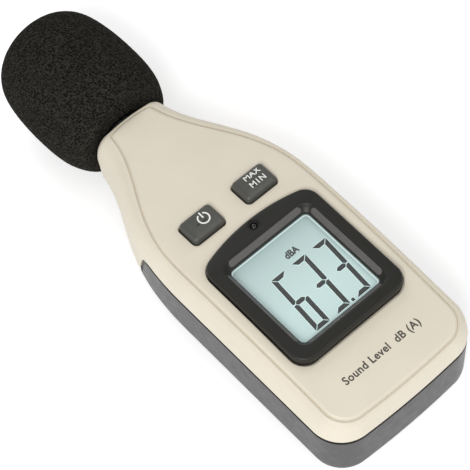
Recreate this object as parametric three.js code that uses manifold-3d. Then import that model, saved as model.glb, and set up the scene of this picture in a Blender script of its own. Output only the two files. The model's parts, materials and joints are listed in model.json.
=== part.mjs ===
// Hand-held sound level meter with two push buttons, a three-digit display and a foam windscreen.
//
// Frame: the meter lies on its back. +Z points out of the front face, +Y runs along the body towards
// the microphone, +X is to the right. The origin is the middle of the flat back face. Millimetres.

import * as THREE from 'three';
import { mergeVertices } from 'three/addons/utils/BufferGeometryUtils.js';
import Module from 'manifold-3d';

const wasm = await Module();
wasm.setup();

// ---------------------------------------------------------------- driving dimensions

const BODY_BOTTOM = -54.6;      // y of the bottom end, at the parting line
const BODY_TOP = 55.9;          // y of the neck's end face, on the centre line
const BODY_HALF_WIDTH = 24.5;   // at the parting line
const NECK_HALF_WIDTH = 11.3;
const SHOULDER_START = 5;       // y where the sides start to curve in
const SHOULDER_END = 58;        // y where the sides are parallel again
const SHOULDER_PULL_LOW = 36;   // y of the shoulder curve's two inner control points
const SHOULDER_PULL_HIGH = 40;
const BOTTOM_CORNER = 9.4;      // radius of the two lower corners, seen from the front
const NECK_CORNER = 2.4;        // radius of the corners of the neck's end
const END_BOW = 0.45;           // how far both ends bow outwards

const FRONT_Z = 28.8;           // height of the groove round the front panel, at its highest
const FRONT_CROWN = 0.00134;    // the front falls by this times the square of the distance ...
const CROWN_CENTRE = -7.2;      // ... from this y
const PARTING_Z = 19.4;         // height of the widest line, where the two covers meet
const NECK_WIDEST_Z = 16;
const NECK_LIFT = 4;            // how far the back rises at the neck's end
const NECK_LIFT_START = 28;
const BACK_ROUND = 5;           // rounding between the sides and the back
const PANEL_RISE = 0.5;         // the front panel stands this far above its groove
const WALL = 2;                 // thickness of the covers' side and back walls
const FRONT_WALL = 2.4;         // thickness of the front wall under the groove
const GAP = 0.3;                // clearance between neighbouring pieces
const REVEAL_DEPTH = 0.7;       // the shadow step round the top of the rear cover
const REVEAL_HEIGHT = 1.1;

const WINDOW = { x: 0, y: -15.4, halfX: 13.15, halfY: 13.95, corner: 1.5 };
const BEZEL = { halfX: 18.1, bottom: -34.5, shoulder: 3.8, crown: 5.85, corner: 4.6 };
const BEZEL_TOP = 30.9;
const BEZEL_SEAT = 27.6;        // floor of the pocket that the bezel lies in
const LENS_TOP = 27.9;

const BUTTON_X = 8.9;           // the two buttons sit this far left and right of the centre line
const BUTTON_Y = 13.5;
const BUTTON = { halfX: 5.1, halfY: 3.6, corner: 1.1, top: 30.5, bevel: 0.7 };
const BUTTON_FLANGE = { halfX: 6.0, halfY: 4.5, bottom: 24.4, top: 25.2 };
const BUTTON_TRAVEL = 0.5;

const MIC_Z = 14.8;             // height of the microphone's axis
const MIC_RADIUS = 6.35;        // half-inch microphone
const NECK_BORE = 7.9;          // hole in the neck's end for the bushing
const NECK_BORE_START = 49;
const MIC_TIP = 82;             // y of the grille's face
const FOAM_START = 56.3;        // y of the windscreen's flat base
const FOAM_TIP = 97.1;

const PCB_BOTTOM = 17.6;
const PCB_TOP = 19.2;

const CELL_RADIUS = 5.2;        // AAA cell
const CELL_LENGTH = 44.5;
const CELL_PITCH = 11;
const CELL_Z = 8;
const BAY = { halfX: 16.9, low: -51, high: -2.6, roof: 13.7 };
const BAY_WALL = 1.1;
const DOOR = { halfX: 16, flangeX: 17.2, end: -2, lip: 1.15, thickness: 2.3 };

const CASE_SCREWS = [[20.1, -42], [-20.1, -42], [17.3, 14], [-17.3, 14]];
const PCB_SCREWS = [[14.5, -42], [-14.5, -42], [15, 5], [-15, 5]];
const CASE_SCREW_RADIUS = 0.95;
const PCB_SCREW_RADIUS = 0.7;

// ---------------------------------------------------------------- materials

const COLOURS = {
  beigePlastic: ['#dcd5c3', 0.55, 0],
  darkPlastic: ['#46454a', 0.5, 0],
  bezelPlastic: ['#33322f', 0.45, 0],
  buttonRubber: ['#4a4a46', 0.5, 0],
  clearPlastic: ['#dfe8e6', 0.1, 0],
  displayGlass: ['#bccfcd', 0.2, 0],
  backlight: ['#e8f2f0', 0.4, 0],
  whitePlastic: ['#e9e9e4', 0.5, 0],
  zebraRubber: ['#d5899a', 0.8, 0],
  circuitBoard: ['#1f6b3a', 0.5, 0],
  chipPlastic: ['#1b1b1d', 0.5, 0],
  capacitorSleeve: ['#23346b', 0.4, 0],
  trimmerPlastic: ['#2b5fae', 0.5, 0],
  steel: ['#b9babc', 0.35, 0.9],
  microphoneMetal: ['#a9abad', 0.3, 0.9],
  rubber: ['#1d1d1d', 0.8, 0],
  foam: ['#1f1e1b', 1, 0],
  cellJacket: ['#2f6f4f', 0.4, 0],
  redWire: ['#b3231c', 0.5, 0],
  blackWire: ['#151515', 0.5, 0],
};

function material(name) {
  const [color, roughness, metalness] = COLOURS[name];
  return new THREE.MeshStandardMaterial({ color, roughness, metalness });
}

// ---------------------------------------------------------------- solids: helpers

function solid(geometry) {
  const bare = geometry.clone();
  for (const name of Object.keys(bare.attributes)) {
    if (name !== 'position') bare.deleteAttribute(name);
  }
  const merged = mergeVertices(bare, 1e-4);
  return new wasm.Manifold(new wasm.Mesh({
    numProp: 3,
    vertProperties: new Float32Array(merged.attributes.position.array),
    triVerts: new Uint32Array(merged.index.array),
  }));
}

function geometryOf(manifold) {
  const mesh = manifold.getMesh();
  const geometry = new THREE.BufferGeometry();
  geometry.setAttribute('position', new THREE.BufferAttribute(mesh.vertProperties, 3));
  geometry.setIndex(new THREE.BufferAttribute(mesh.triVerts, 1));
  return geometry;
}

function box(x0, x1, y0, y1, z0, z1) {
  const geometry = new THREE.BoxGeometry(x1 - x0, y1 - y0, z1 - z0);
  return solid(geometry.translate((x0 + x1) / 2, (y0 + y1) / 2, (z0 + z1) / 2));
}

// Upright cylinder between two heights.
function post(x, y, radius, z0, z1, sides = 14) {
  const geometry = new THREE.CylinderGeometry(radius, radius, z1 - z0, sides).rotateX(Math.PI / 2);
  return solid(geometry.translate(x, y, (z0 + z1) / 2));
}

// Cylinder along Y.
function rod(x, z, radius, y0, y1, sides = 20) {
  const geometry = new THREE.CylinderGeometry(radius, radius, y1 - y0, sides);
  return solid(geometry.translate(x, (y0 + y1) / 2, z));
}

// Solid of revolution about the Y axis through (x, z); the profile holds [radius, y] pairs.
function turned(profile, x, z, sides = 24) {
  const points = profile.map(([radius, y]) => new THREE.Vector2(radius, y));
  return solid(new THREE.LatheGeometry(points, sides).translate(x, 0, z));
}

// Flat outline in X and Y, raised from z0 to z1.
function prism(shape, z0, z1, curveSegments = 3) {
  const geometry = new THREE.ExtrudeGeometry(shape, { depth: z1 - z0, bevelEnabled: false, curveSegments });
  return solid(geometry.translate(0, 0, z0));
}

// Solid through a stack of rings of 3-D points. Point i of each ring pairs with point n - i across X,
// so both caps are strips that follow the crown of the ring.
function loft(rings) {
  const count = rings[0].length;
  const positions = rings.flat(2);
  const index = [];
  for (let r = 0; r + 1 < rings.length; r += 1) {
    for (let i = 0; i < count; i += 1) {
      const a = r * count + i;
      const b = r * count + (i + 1) % count;
      index.push(a, b, b + count, a, b + count, a + count);
    }
  }
  const top = (rings.length - 1) * count;
  for (let i = 0; i < count / 2; i += 1) {
    const j = (count - i) % count;
    const nextI = i + 1;
    const nextJ = count - i - 1;
    for (const [base, flip] of [[0, true], [top, false]]) {
      const triangles = [];
      if (nextI !== nextJ) triangles.push([i, nextI, nextJ]);
      if (i !== j) triangles.push([i, nextJ, j]);
      for (const [a, b, c] of triangles) {
        index.push(base + a, base + (flip ? c : b), base + (flip ? b : c));
      }
    }
  }
  const geometry = new THREE.BufferGeometry();
  geometry.setAttribute('position', new THREE.BufferAttribute(new Float32Array(positions), 3));
  geometry.setIndex(index);
  return solid(geometry);
}

function roundedRectangle(x, y, halfX, halfY, corner) {
  const shape = new THREE.Shape();
  const quarter = Math.PI / 2;
  const corners = [[1, -1, -quarter], [1, 1, 0], [-1, 1, quarter], [-1, -1, 2 * quarter]];
  for (const [sideX, sideY, start] of corners) {
    const centreX = x + sideX * (halfX - corner);
    const centreY = y + sideY * (halfY - corner);
    shape.absarc(centreX, centreY, corner, start, start + quarter);
  }
  shape.closePath();
  return shape;
}

// The same outline as ring points for loft, starting at the middle of the lower side.
function roundedRing(x, y, halfX, halfY, corner, z, steps = 4) {
  const half = [[0, -halfY]];
  for (const [sideY, start] of [[-1, -Math.PI / 2], [1, 0]]) {
    for (let k = 0; k <= steps; k += 1) {
      const angle = start + (Math.PI / 2) * (k / steps);
      half.push([halfX - corner + corner * Math.cos(angle),
        sideY * (halfY - corner) + corner * Math.sin(angle)]);
    }
  }
  half.push([0, halfY]);
  const mirrored = half.slice(1, -1).reverse().map(([px, py]) => [-px, py]);
  return [...half, ...mirrored].map(([px, py]) => [x + px, y + py, z]);
}

function smoothStep(value, low, high) {
  return THREE.MathUtils.smoothstep(value, low, high);
}

// ---------------------------------------------------------------- body shape

const shoulder = new THREE.CubicBezierCurve(
  new THREE.Vector2(BODY_HALF_WIDTH, SHOULDER_START),
  new THREE.Vector2(BODY_HALF_WIDTH, SHOULDER_PULL_LOW),
  new THREE.Vector2(NECK_HALF_WIDTH, SHOULDER_PULL_HIGH),
  new THREE.Vector2(NECK_HALF_WIDTH, SHOULDER_END),
);

// Half width of the body and its slope at y, at the parting line.
function sideAt(y) {
  if (y <= SHOULDER_START) return { x: BODY_HALF_WIDTH, slope: 0 };
  let low = 0;
  let high = 1;
  for (let k = 0; k < 40; k += 1) {
    const middle = (low + high) / 2;
    if (shoulder.getPoint(middle).y < y) low = middle;
    else high = middle;
  }
  const tangent = shoulder.getTangent(low);
  return { x: shoulder.getPoint(low).x, slope: tangent.x / tangent.y };
}

const grooveHeight = (y) => FRONT_Z - FRONT_CROWN * (y - CROWN_CENTRE) ** 2;
const backHeight = (y) => NECK_LIFT * smoothStep(y, NECK_LIFT_START, BODY_TOP);
const widestHeight = (y) => PARTING_Z + (NECK_WIDEST_Z - PARTING_Z) * smoothStep(y, 18, 45);

// How far the groove lies inside the widest outline: on the sides, at the bottom end, at the neck's end.
const grooveInset = (y) => 2.5 + 0.3 * smoothStep(-y, 10, 45) + 1.9 * smoothStep(y, 12, 38);
const GROOVE_INSET_BOTTOM = 1.7;
const GROOVE_INSET_END = 1.5;

const BOTTOM_STEPS = 3;
const CORNER_STEPS = 5;
const SIDE_STEPS = 15;
const END_STEPS = 3;

// Closed outline of the body moved inwards: side(y), bottom and end are the insets, height(y) gives z.
function bodyRing({ side, bottom, end, height }) {
  const y0 = BODY_BOTTOM + bottom;
  const y1 = BODY_TOP - end;
  const lowCorner = Math.max(BOTTOM_CORNER - (bottom + side(BODY_BOTTOM)) / 2, 1.5);
  const topCorner = Math.max(NECK_CORNER - end / 2, 1);
  const sideX = (y) => {
    const { x, slope } = sideAt(y);
    return x - side(y) * Math.hypot(1, slope);
  };
  const yStart = y0 + END_BOW + lowCorner;
  const yEnd = y1 - END_BOW - topCorner;
  const half = [];
  const startX = sideX(yStart);
  const endX = sideX(yEnd);
  for (let k = 0; k < BOTTOM_STEPS; k += 1) {
    const t = k / BOTTOM_STEPS;
    half.push([t * (startX - lowCorner), y0 + END_BOW * t * t]);
  }
  for (let k = 0; k < CORNER_STEPS; k += 1) {
    const angle = -Math.PI / 2 + (Math.PI / 2) * (k / CORNER_STEPS);
    half.push([startX - lowCorner + lowCorner * Math.cos(angle), yStart + lowCorner * Math.sin(angle)]);
  }
  for (let k = 0; k < SIDE_STEPS; k += 1) {
    const y = yStart + (yEnd - yStart) * (k / SIDE_STEPS);
    half.push([sideX(y), y]);
  }
  for (let k = 0; k < CORNER_STEPS; k += 1) {
    const angle = (Math.PI / 2) * (k / CORNER_STEPS);
    half.push([endX - topCorner + topCorner * Math.cos(angle), yEnd + topCorner * Math.sin(angle)]);
  }
  for (let k = 0; k <= END_STEPS; k += 1) {
    const t = 1 - k / END_STEPS;
    half.push([t * (endX - topCorner), y1 - END_BOW * t * t]);
  }
  const mirrored = half.slice(1, -1).reverse().map(([x, y]) => [-x, y]);
  return [...half, ...mirrored].map(([x, y]) => [x, y, height(y)]);
}

// Ring moved inwards by the same amount all round.
function evenRing(inset, height) {
  return bodyRing({ side: () => inset, bottom: inset, end: inset, height });
}

// Ring on the bulged upper side, from the widest line (angle 0) to the groove (90 degrees).
function upperRing(degrees, extra, top) {
  const angle = THREE.MathUtils.degToRad(degrees);
  const share = 1 - Math.cos(angle);
  return bodyRing({
    side: (y) => extra + share * grooveInset(y),
    bottom: extra + share * GROOVE_INSET_BOTTOM,
    end: extra + share * GROOVE_INSET_END,
    height: (y) => widestHeight(y) + (top(y) - widestHeight(y)) * Math.sin(angle),
  });
}

// Rings of the rounded back edge, from the flat back up to the wall.
function backRings(extra, floor, radius, angles) {
  return angles.map((degrees) => {
    const angle = THREE.MathUtils.degToRad(degrees);
    return evenRing(extra + radius * (1 - Math.sin(angle)),
      (y) => backHeight(y) + floor + radius * (1 - Math.cos(angle)));
  });
}

function outerBody(extra) {
  const draft = 0.35;
  const rings = backRings(extra + draft, 0, BACK_ROUND, [0, 30, 60, 90]);
  for (const degrees of [0, 20, 40, 60, 76, 90]) {
    rings.push(upperRing(degrees, extra, grooveHeight));
  }
  const beyondGroove = (inset, rise) => bodyRing({
    side: (y) => extra + grooveInset(y) + inset,
    bottom: extra + GROOVE_INSET_BOTTOM + inset,
    end: extra + GROOVE_INSET_END + inset,
    height: (y) => grooveHeight(y) + rise,
  });
  rings.push(beyondGroove(0.15, -0.25));
  rings.push(beyondGroove(0.35, 0));
  rings.push(beyondGroove(1.1, PANEL_RISE));
  return loft(rings);
}

function innerCavity() {
  const rings = backRings(WALL, WALL, 3, [0, 90]);
  for (const degrees of [0, 50, 90]) {
    rings.push(upperRing(degrees, WALL, (y) => grooveHeight(y) - FRONT_WALL));
  }
  return loft(rings);
}

// The line where the covers meet, seen from the side: level round the grip, then down to the back at the
// shoulder and along the back of the neck.
const PARTING_POINTS = [[-70, PARTING_Z], [16, PARTING_Z], [19.5, 19.1], [21.4, 17.9], [22.8, 15.2],
  [24.4, 11], [25.6, 7.2], [27, 4.3], [29.5, 3], [34, 2.9], [45, 4.6], [56, 6.4], [70, 6.4]];

// Block that holds everything behind the parting line, with the line moved back by some distance.
function behindParting(distance) {
  const low = -60;
  const shape = new THREE.Shape();
  shape.moveTo(PARTING_POINTS[0][0], low);
  PARTING_POINTS.forEach(([y, z], k) => {
    const [y0, z0] = PARTING_POINTS[Math.max(k - 1, 0)];
    const [y1, z1] = PARTING_POINTS[Math.min(k + 1, PARTING_POINTS.length - 1)];
    const length = Math.hypot(y1 - y0, z1 - z0);
    shape.lineTo(y + distance * (z1 - z0) / length, z - distance * (y1 - y0) / length);
  });
  shape.lineTo(PARTING_POINTS.at(-1)[0], low);
  shape.closePath();
  const width = 80;
  const geometry = new THREE.ExtrudeGeometry(shape, { depth: width, bevelEnabled: false, curveSegments: 1 });
  // The outline's first axis is Y and its second is Z; the depth runs along X.
  geometry.applyMatrix4(new THREE.Matrix4().set(0, 0, 1, -width / 2, 1, 0, 0, 0, 0, 1, 0, 0, 0, 0, 0, 1));
  return solid(geometry);
}

// ---------------------------------------------------------------- bezel outline

// Outline of the display bezel: straight sides, an arched top, all grown by some distance.
function bezelOutline(grow) {
  const halfX = BEZEL.halfX + grow;
  const bottom = BEZEL.bottom - grow;
  const corner = BEZEL.corner + grow;
  const chord = halfX - corner + 1.2;
  const shoulderY = BEZEL.shoulder + grow;
  const rise = BEZEL.crown - BEZEL.shoulder;
  const archRadius = (chord * chord + rise * rise) / (2 * rise);
  const archCentre = BEZEL.crown + grow - archRadius;
  const archAngle = Math.asin(chord / archRadius);
  const shape = new THREE.Shape();
  shape.absarc(halfX - corner, bottom + corner, corner, -Math.PI / 2, 0);
  const cornerY = shoulderY - corner + 0.2;
  shape.absarc(halfX - corner, cornerY, corner, 0, Math.PI / 2 - 0.3);
  shape.absarc(0, archCentre, archRadius, Math.PI / 2 - archAngle, Math.PI / 2 + archAngle);
  shape.absarc(-halfX + corner, cornerY, corner, Math.PI / 2 + 0.3, Math.PI);
  shape.absarc(-halfX + corner, bottom + corner, corner, Math.PI, 1.5 * Math.PI);
  shape.closePath();
  return shape;
}

// ---------------------------------------------------------------- covers

function frontCover() {
  let cover = outerBody(0).subtract(innerCavity());
  const ceiling = (y) => grooveHeight(y) - FRONT_WALL;
  for (const [x, y] of CASE_SCREWS) {
    cover = cover.add(post(x, y, 2.2, PARTING_Z + GAP / 2, ceiling(y) + 0.8));
    cover = cover.subtract(post(x, y, CASE_SCREW_RADIUS + GAP, PARTING_Z - 1, ceiling(y) - 0.6));
  }
  for (const [x, y] of PCB_SCREWS) {
    cover = cover.add(post(x, y, 2, PCB_TOP + GAP, ceiling(y) + 0.8));
    cover = cover.subtract(post(x, y, PCB_SCREW_RADIUS + GAP, PCB_TOP, ceiling(y) - 0.6));
  }
  cover = cover.subtract(prism(bezelOutline(GAP), BEZEL_SEAT, BEZEL_TOP + 2, 4));
  const opening = roundedRectangle(WINDOW.x, WINDOW.y, WINDOW.halfX + 2.9, WINDOW.halfY + 2.9, 2);
  cover = cover.subtract(prism(opening, 20, BEZEL_TOP));
  cover = cover.subtract(post(0, 3.6, 1.9, 20, BEZEL_TOP));
  for (const x of [-BUTTON_X, BUTTON_X]) {
    const hole = roundedRectangle(x, BUTTON_Y, BUTTON.halfX + GAP, BUTTON.halfY + GAP, BUTTON.corner + GAP);
    cover = cover.subtract(prism(hole, 20, BEZEL_TOP + 2));
  }
  cover = cover.subtract(rod(0, MIC_Z, NECK_BORE, NECK_BORE_START, 60));
  return cover.subtract(behindParting(-GAP / 2));
}

function doorProfile(grow) {
  const { halfX, flangeX, lip, thickness } = DOOR;
  const shape = new THREE.Shape();
  const points = [[-halfX, -2], [halfX, -2], [halfX, lip], [flangeX, lip], [flangeX, thickness],
    [-flangeX, thickness], [-flangeX, lip], [-halfX, lip]];
  points.forEach(([x, z], k) => {
    const inLip = Math.abs(x) > halfX;
    const grownX = x + Math.sign(x) * grow;
    const grownZ = z === lip && inLip ? z - grow : z + (z === thickness ? grow : 0);
    const finalZ = z === lip && !inLip ? z - grow : grownZ;
    if (k === 0) shape.moveTo(grownX, finalZ);
    else shape.lineTo(grownX, finalZ);
  });
  shape.closePath();
  return shape;
}

// The door's block: its cross-section in X and Z, drawn out along Y from past the bottom end.
function doorBlock(grow) {
  const start = -62;
  const end = DOOR.end + grow;
  const geometry = new THREE.ExtrudeGeometry(doorProfile(grow), { depth: end - start, bevelEnabled: false });
  geometry.applyMatrix4(new THREE.Matrix4().set(-1, 0, 0, 0, 0, 0, 1, start, 0, 1, 0, 0, 0, 0, 0, 1));
  return solid(geometry);
}

function rearCover() {
  const behind = behindParting(GAP / 2);
  const behindReveal = behindParting(REVEAL_HEIGHT);
  const core = outerBody(REVEAL_DEPTH).intersect(behind);
  let cover = outerBody(0).intersect(behindReveal).add(core).subtract(innerCavity());
  const outside = BAY.halfX + BAY_WALL;
  const trayBottom = 1;
  let tray = box(-outside, outside, BAY.low - BAY_WALL, BAY.high + BAY_WALL, trayBottom, BAY.roof + BAY_WALL);
  tray = tray.intersect(outerBody(0.2));
  cover = cover.add(tray);
  for (const [x, y] of CASE_SCREWS) {
    cover = cover.add(post(x, y, 2.2, 1, PARTING_Z - 0.15).intersect(outerBody(0.2)));
  }
  cover = cover.subtract(box(-BAY.halfX, BAY.halfX, BAY.low, BAY.high, trayBottom, BAY.roof));
  cover = cover.subtract(doorBlock(GAP));
  for (const x of [-CELL_PITCH, CELL_PITCH]) {
    const y = x > 0 ? BAY.low + 2 : BAY.high - 2;
    cover = cover.subtract(box(x - 1.6, x + 1.6, y - 2.3, y + 2.3, BAY.roof - 1, BAY.roof + 3));
  }
  for (const [x, y] of CASE_SCREWS) {
    cover = cover.subtract(post(x, y, 2.0 + GAP / 2, -1, 3.6));
    cover = cover.subtract(post(x, y, CASE_SCREW_RADIUS + GAP, 3, PARTING_Z + 1));
  }
  return cover.subtract(rod(0, MIC_Z, NECK_BORE, NECK_BORE_START, 60));
}

function batteryDoor() {
  let door = outerBody(0).intersect(doorBlock(0));
  const ribs = 6;
  for (let k = 0; k < ribs; k += 1) {
    const y = -46 + 1.8 * k;
    door = door.subtract(box(-7, 7, y, y + 0.9, -1, 0.4));
  }
  return door;
}

// ---------------------------------------------------------------- display

function displayBezel() {
  const under = LENS_TOP + GAP;
  const bevel = 0.6;
  const outline = bezelOutline(-bevel);
  const height = BEZEL_TOP - BEZEL_SEAT - GAP;
  const plate = new THREE.ExtrudeGeometry(outline, {
    depth: height - bevel, bevelEnabled: true, bevelSize: bevel, bevelThickness: bevel, bevelSegments: 2,
    curveSegments: 5,
  });
  let bezel = solid(plate.translate(0, 0, BEZEL_SEAT + GAP));
  bezel = bezel.subtract(box(-40, 40, -60, 20, BEZEL_SEAT - 5, BEZEL_SEAT + GAP));
  const skirt = roundedRectangle(WINDOW.x, WINDOW.y, WINDOW.halfX + 2.6, WINDOW.halfY + 2.6, 1.8);
  bezel = bezel.add(prism(skirt, LENS_TOP - 1.1, BEZEL_SEAT + 1));
  const { x, y, halfX, halfY, corner } = WINDOW;
  bezel = bezel.subtract(prism(roundedRectangle(x, y, halfX, halfY, corner), 20, BEZEL_TOP + 1));
  bezel = bezel.subtract(prism(roundedRectangle(x, y, halfX + 1.3, halfY + 1.3, corner), 20, under));
  const slope = [[0.15, 29.1], [1.65, BEZEL_TOP], [2.65, BEZEL_TOP + 1.2]];
  const funnel = slope.map(([grow, z]) => roundedRing(x, y, halfX + grow, halfY + grow, corner + grow, z));
  bezel = bezel.subtract(loft(funnel));
  bezel = bezel.subtract(post(0, 3.6, 1.1, 20, BEZEL_TOP + 1));
  return bezel.subtract(post(0, 3.6, 1.55, BEZEL_TOP - 0.45, BEZEL_TOP + 1));
}

function displayLens() {
  const { x, y, halfX, halfY } = WINDOW;
  return prism(roundedRectangle(x, y, halfX + 1, halfY + 1, 1.2), LENS_TOP - 0.8, LENS_TOP);
}

const GLASS_TOP = LENS_TOP - 1.1;
const GLASS_BOTTOM = GLASS_TOP - 2.2;
const BACKLIGHT_TOP = GLASS_BOTTOM - GAP;
const BACKLIGHT_BOTTOM = BACKLIGHT_TOP - 2.6;

function lcdGlass() {
  const { x, y, halfX, halfY } = WINDOW;
  return box(x - halfX - 0.9, x + halfX + 0.9, y - halfY - 2.2, y + halfY + 0.9, GLASS_BOTTOM, GLASS_TOP);
}

function backlightPanel() {
  const { x, y, halfX, halfY } = WINDOW;
  return box(x - halfX - 0.6, x + halfX + 0.6, y - halfY, y + halfY + 0.6, BACKLIGHT_BOTTOM, BACKLIGHT_TOP);
}

function lcdHolder() {
  const { x, y, halfX, halfY } = WINDOW;
  const bottom = PCB_TOP + GAP;
  const shape = (grow) => roundedRectangle(x, y - 0.6, halfX + grow, halfY + grow + 0.6, 0.8);
  let holder = prism(shape(2.3), bottom, GLASS_TOP - 2);
  holder = holder.subtract(prism(shape(1.2), BACKLIGHT_BOTTOM - GAP, GLASS_TOP + 1));
  holder = holder.subtract(box(x - 11, x + 11, y - 9, y + 11, bottom - 1, bottom + 2));
  return holder.subtract(box(x - 12.3, x + 12.3, y - halfY - 2.1, y - halfY + 0.3 - GAP, bottom - 1, GLASS_TOP));
}

function zebraStrip() {
  const y = WINDOW.y - WINDOW.halfY - 1.2;
  return box(-12, 12, y - 0.6, y + 0.6, PCB_TOP + GAP, GLASS_BOTTOM - GAP);
}

// ---------------------------------------------------------------- circuit board and its parts

function mainBoard() {
  const outline = new THREE.Shape();
  const right = [[17.4, -46], [17.4, 8], [13.2, 11], [13.2, 20], [8, 24]];
  outline.moveTo(...right[0]);
  for (const [x, y] of right.slice(1)) outline.lineTo(x, y);
  for (const [x, y] of right.toReversed()) outline.lineTo(-x, y);
  outline.closePath();
  let board = prism(outline, PCB_BOTTOM, PCB_TOP);
  for (const [x, y] of PCB_SCREWS) board = board.subtract(post(x, y, 1.4, PCB_BOTTOM - 1, PCB_TOP + 1));
  return board;
}

// Chip package with leads along two sides, on the top (+1) or the bottom (-1) of the board.
function chip(x, y, halfX, halfY, leads, side) {
  const place = (z0, z1) => (side > 0
    ? [PCB_TOP + GAP + z0, PCB_TOP + GAP + z1]
    : [PCB_BOTTOM - GAP - z1, PCB_BOTTOM - GAP - z0]);
  let body = box(x - halfX, x + halfX, y - halfY, y + halfY, ...place(0.1, 1.4));
  for (let k = 0; k < leads; k += 1) {
    const leadY = y - halfY + (k + 0.5) * (2 * halfY / leads);
    body = body.add(box(x - halfX - 1, x + halfX + 1, leadY - 0.2, leadY + 0.2, ...place(0, 0.35)));
  }
  return body;
}

function crystal() {
  const geometry = new THREE.CylinderGeometry(1.5, 1.5, 8, 16).rotateZ(Math.PI / 2);
  return solid(geometry.translate(-4, -37, PCB_TOP + GAP + 1.5));
}

function capacitor(x, y) {
  const bottom = PCB_TOP + GAP;
  const profile = [[0, 0], [2, 0], [2, 0.6], [1.8, 0.9], [2, 1.2], [2, 4.6], [1.7, 4.9], [0, 4.9]];
  const points = profile.map(([radius, z]) => new THREE.Vector2(radius, z));
  return solid(new THREE.LatheGeometry(points, 16).rotateX(Math.PI / 2).translate(x, y, bottom));
}

function trimmer() {
  const bottom = PCB_TOP + GAP;
  const body = box(2, 6, -40, -36, bottom, bottom + 2.2).add(post(4, -38, 1.5, bottom + 2, bottom + 2.9, 16));
  return body.subtract(box(2.9, 5.1, -38.2, -37.8, bottom + 2.5, bottom + 4));
}

function lightSensor() {
  return box(-1.6, 1.6, 2, 5.2, PCB_TOP + GAP, PCB_TOP + GAP + 1.2)
    .add(post(0, 3.6, 1.1, PCB_TOP + 1, PCB_TOP + 2, 16));
}

function sensorLightPipe() {
  const profile = [[0, PCB_TOP + 2.3], [0.8, PCB_TOP + 2.3], [0.8, 30.2], [0.62, 30.5], [0, 30.65]];
  const points = profile.map(([radius, z]) => new THREE.Vector2(radius, z));
  return solid(new THREE.LatheGeometry(points, 12).rotateX(Math.PI / 2).translate(0, 3.6, 0));
}

// ---------------------------------------------------------------- buttons and their switches

const SWITCH_TOP = PCB_TOP + GAP + 3.2;
const PLUNGER_RADIUS = 1.6;

function tactBase(x) {
  const base = box(x - 3, x + 3, BUTTON_Y - 3, BUTTON_Y + 3, PCB_TOP + GAP, SWITCH_TOP);
  return base.subtract(post(x, BUTTON_Y, PLUNGER_RADIUS + GAP, SWITCH_TOP - 1.6, SWITCH_TOP + 1));
}

function tactPlunger(x) {
  return post(x, BUTTON_Y, PLUNGER_RADIUS, SWITCH_TOP - 1.6 + BUTTON_TRAVEL + GAP, SWITCH_TOP + 0.6);
}

function pushButton(x) {
  const { halfX, halfY, corner, top, bevel } = BUTTON;
  const inner = roundedRectangle(x, BUTTON_Y, halfX - bevel, halfY - bevel, corner);
  const cap = new THREE.ExtrudeGeometry(inner, {
    depth: top - BUTTON_FLANGE.top - bevel + 0.4, bevelEnabled: true, bevelSize: bevel, bevelThickness: bevel,
    bevelSegments: 2, curveSegments: 3,
  });
  const flange = roundedRectangle(x, BUTTON_Y, BUTTON_FLANGE.halfX, BUTTON_FLANGE.halfY, corner);
  return solid(cap.translate(0, 0, BUTTON_FLANGE.top - 0.4))
    .add(prism(flange, BUTTON_FLANGE.bottom, BUTTON_FLANGE.top, 4))
    .add(post(x, BUTTON_Y, 1.8, SWITCH_TOP + 0.6 + GAP, BUTTON_FLANGE.bottom + 0.5));
}

// ---------------------------------------------------------------- microphone and windscreen

function microphoneBarrel() {
  const tube = [[5.6, 43], [MIC_RADIUS, 43], [MIC_RADIUS, 76.5], [5.6, 76.5], [5.6, 43]];
  return turned(tube, 0, MIC_Z);
}

function microphoneCapsule() {
  const can = [[0, 71.5], [4.6, 71.5], [4.9, 71.8], [4.9, 78.2], [4.6, 78.5], [0, 78.5]];
  return turned(can, 0, MIC_Z, 20);
}

function microphoneGrille() {
  const cup = [[5.4, 76.8], [MIC_RADIUS, 76.8], [MIC_RADIUS, MIC_TIP - 0.6], [5.7, MIC_TIP], [0, MIC_TIP],
    [0, MIC_TIP - 0.9], [5.4, MIC_TIP - 0.9], [5.4, 76.8]];
  let grille = turned(cup, 0, MIC_Z);
  const holes = [[0, 0]];
  const ringOfHoles = 6;
  for (let k = 0; k < ringOfHoles; k += 1) {
    const angle = (k / ringOfHoles) * 2 * Math.PI;
    holes.push([3.2 * Math.cos(angle), 3.2 * Math.sin(angle)]);
  }
  for (const [dx, dz] of holes) {
    grille = grille.subtract(rod(dx, MIC_Z + dz, 0.9, MIC_TIP - 2, MIC_TIP + 1, 8));
  }
  return grille;
}

function neckBushing() {
  const inner = MIC_RADIUS + GAP;
  const outer = NECK_BORE - GAP;
  const ring = [[inner, 49.5], [outer, 49.5], [outer, 55.5], [outer - 0.3, 55.8], [inner, 55.8], [inner, 49.5]];
  return turned(ring, 0, MIC_Z);
}

function foamWindscreen() {
  const bore = MIC_RADIUS + GAP;
  const profile = [[bore, FOAM_START], [12.6, FOAM_START], [14.2, 57.3], [15.5, 59.2], [16.6, 61.8],
    [17.3, 64.8], [17.7, 69], [17.8, 73], [17.75, 77], [17.5, 81], [17, 85], [16.2, 88.6], [14.9, 91.4],
    [12.9, 93.8], [10, 95.7], [6, 96.8], [0, FOAM_TIP], [0, MIC_TIP + GAP], [bore, MIC_TIP + GAP],
    [bore, FOAM_START]];
  return turned(profile, 0, MIC_Z, 28);
}

// Round wire along a smooth line through the points.
function wire(points, radius) {
  const curve = new THREE.CatmullRomCurve3(points.map(([x, y, z]) => new THREE.Vector3(x, y, z)));
  const section = new THREE.Shape();
  section.absarc(0, 0, radius, 0, 2 * Math.PI);
  const geometry = new THREE.ExtrudeGeometry(section, {
    steps: 3 * (points.length - 1), extrudePath: curve, curveSegments: 4, bevelEnabled: false,
  });
  return solid(geometry);
}

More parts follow.
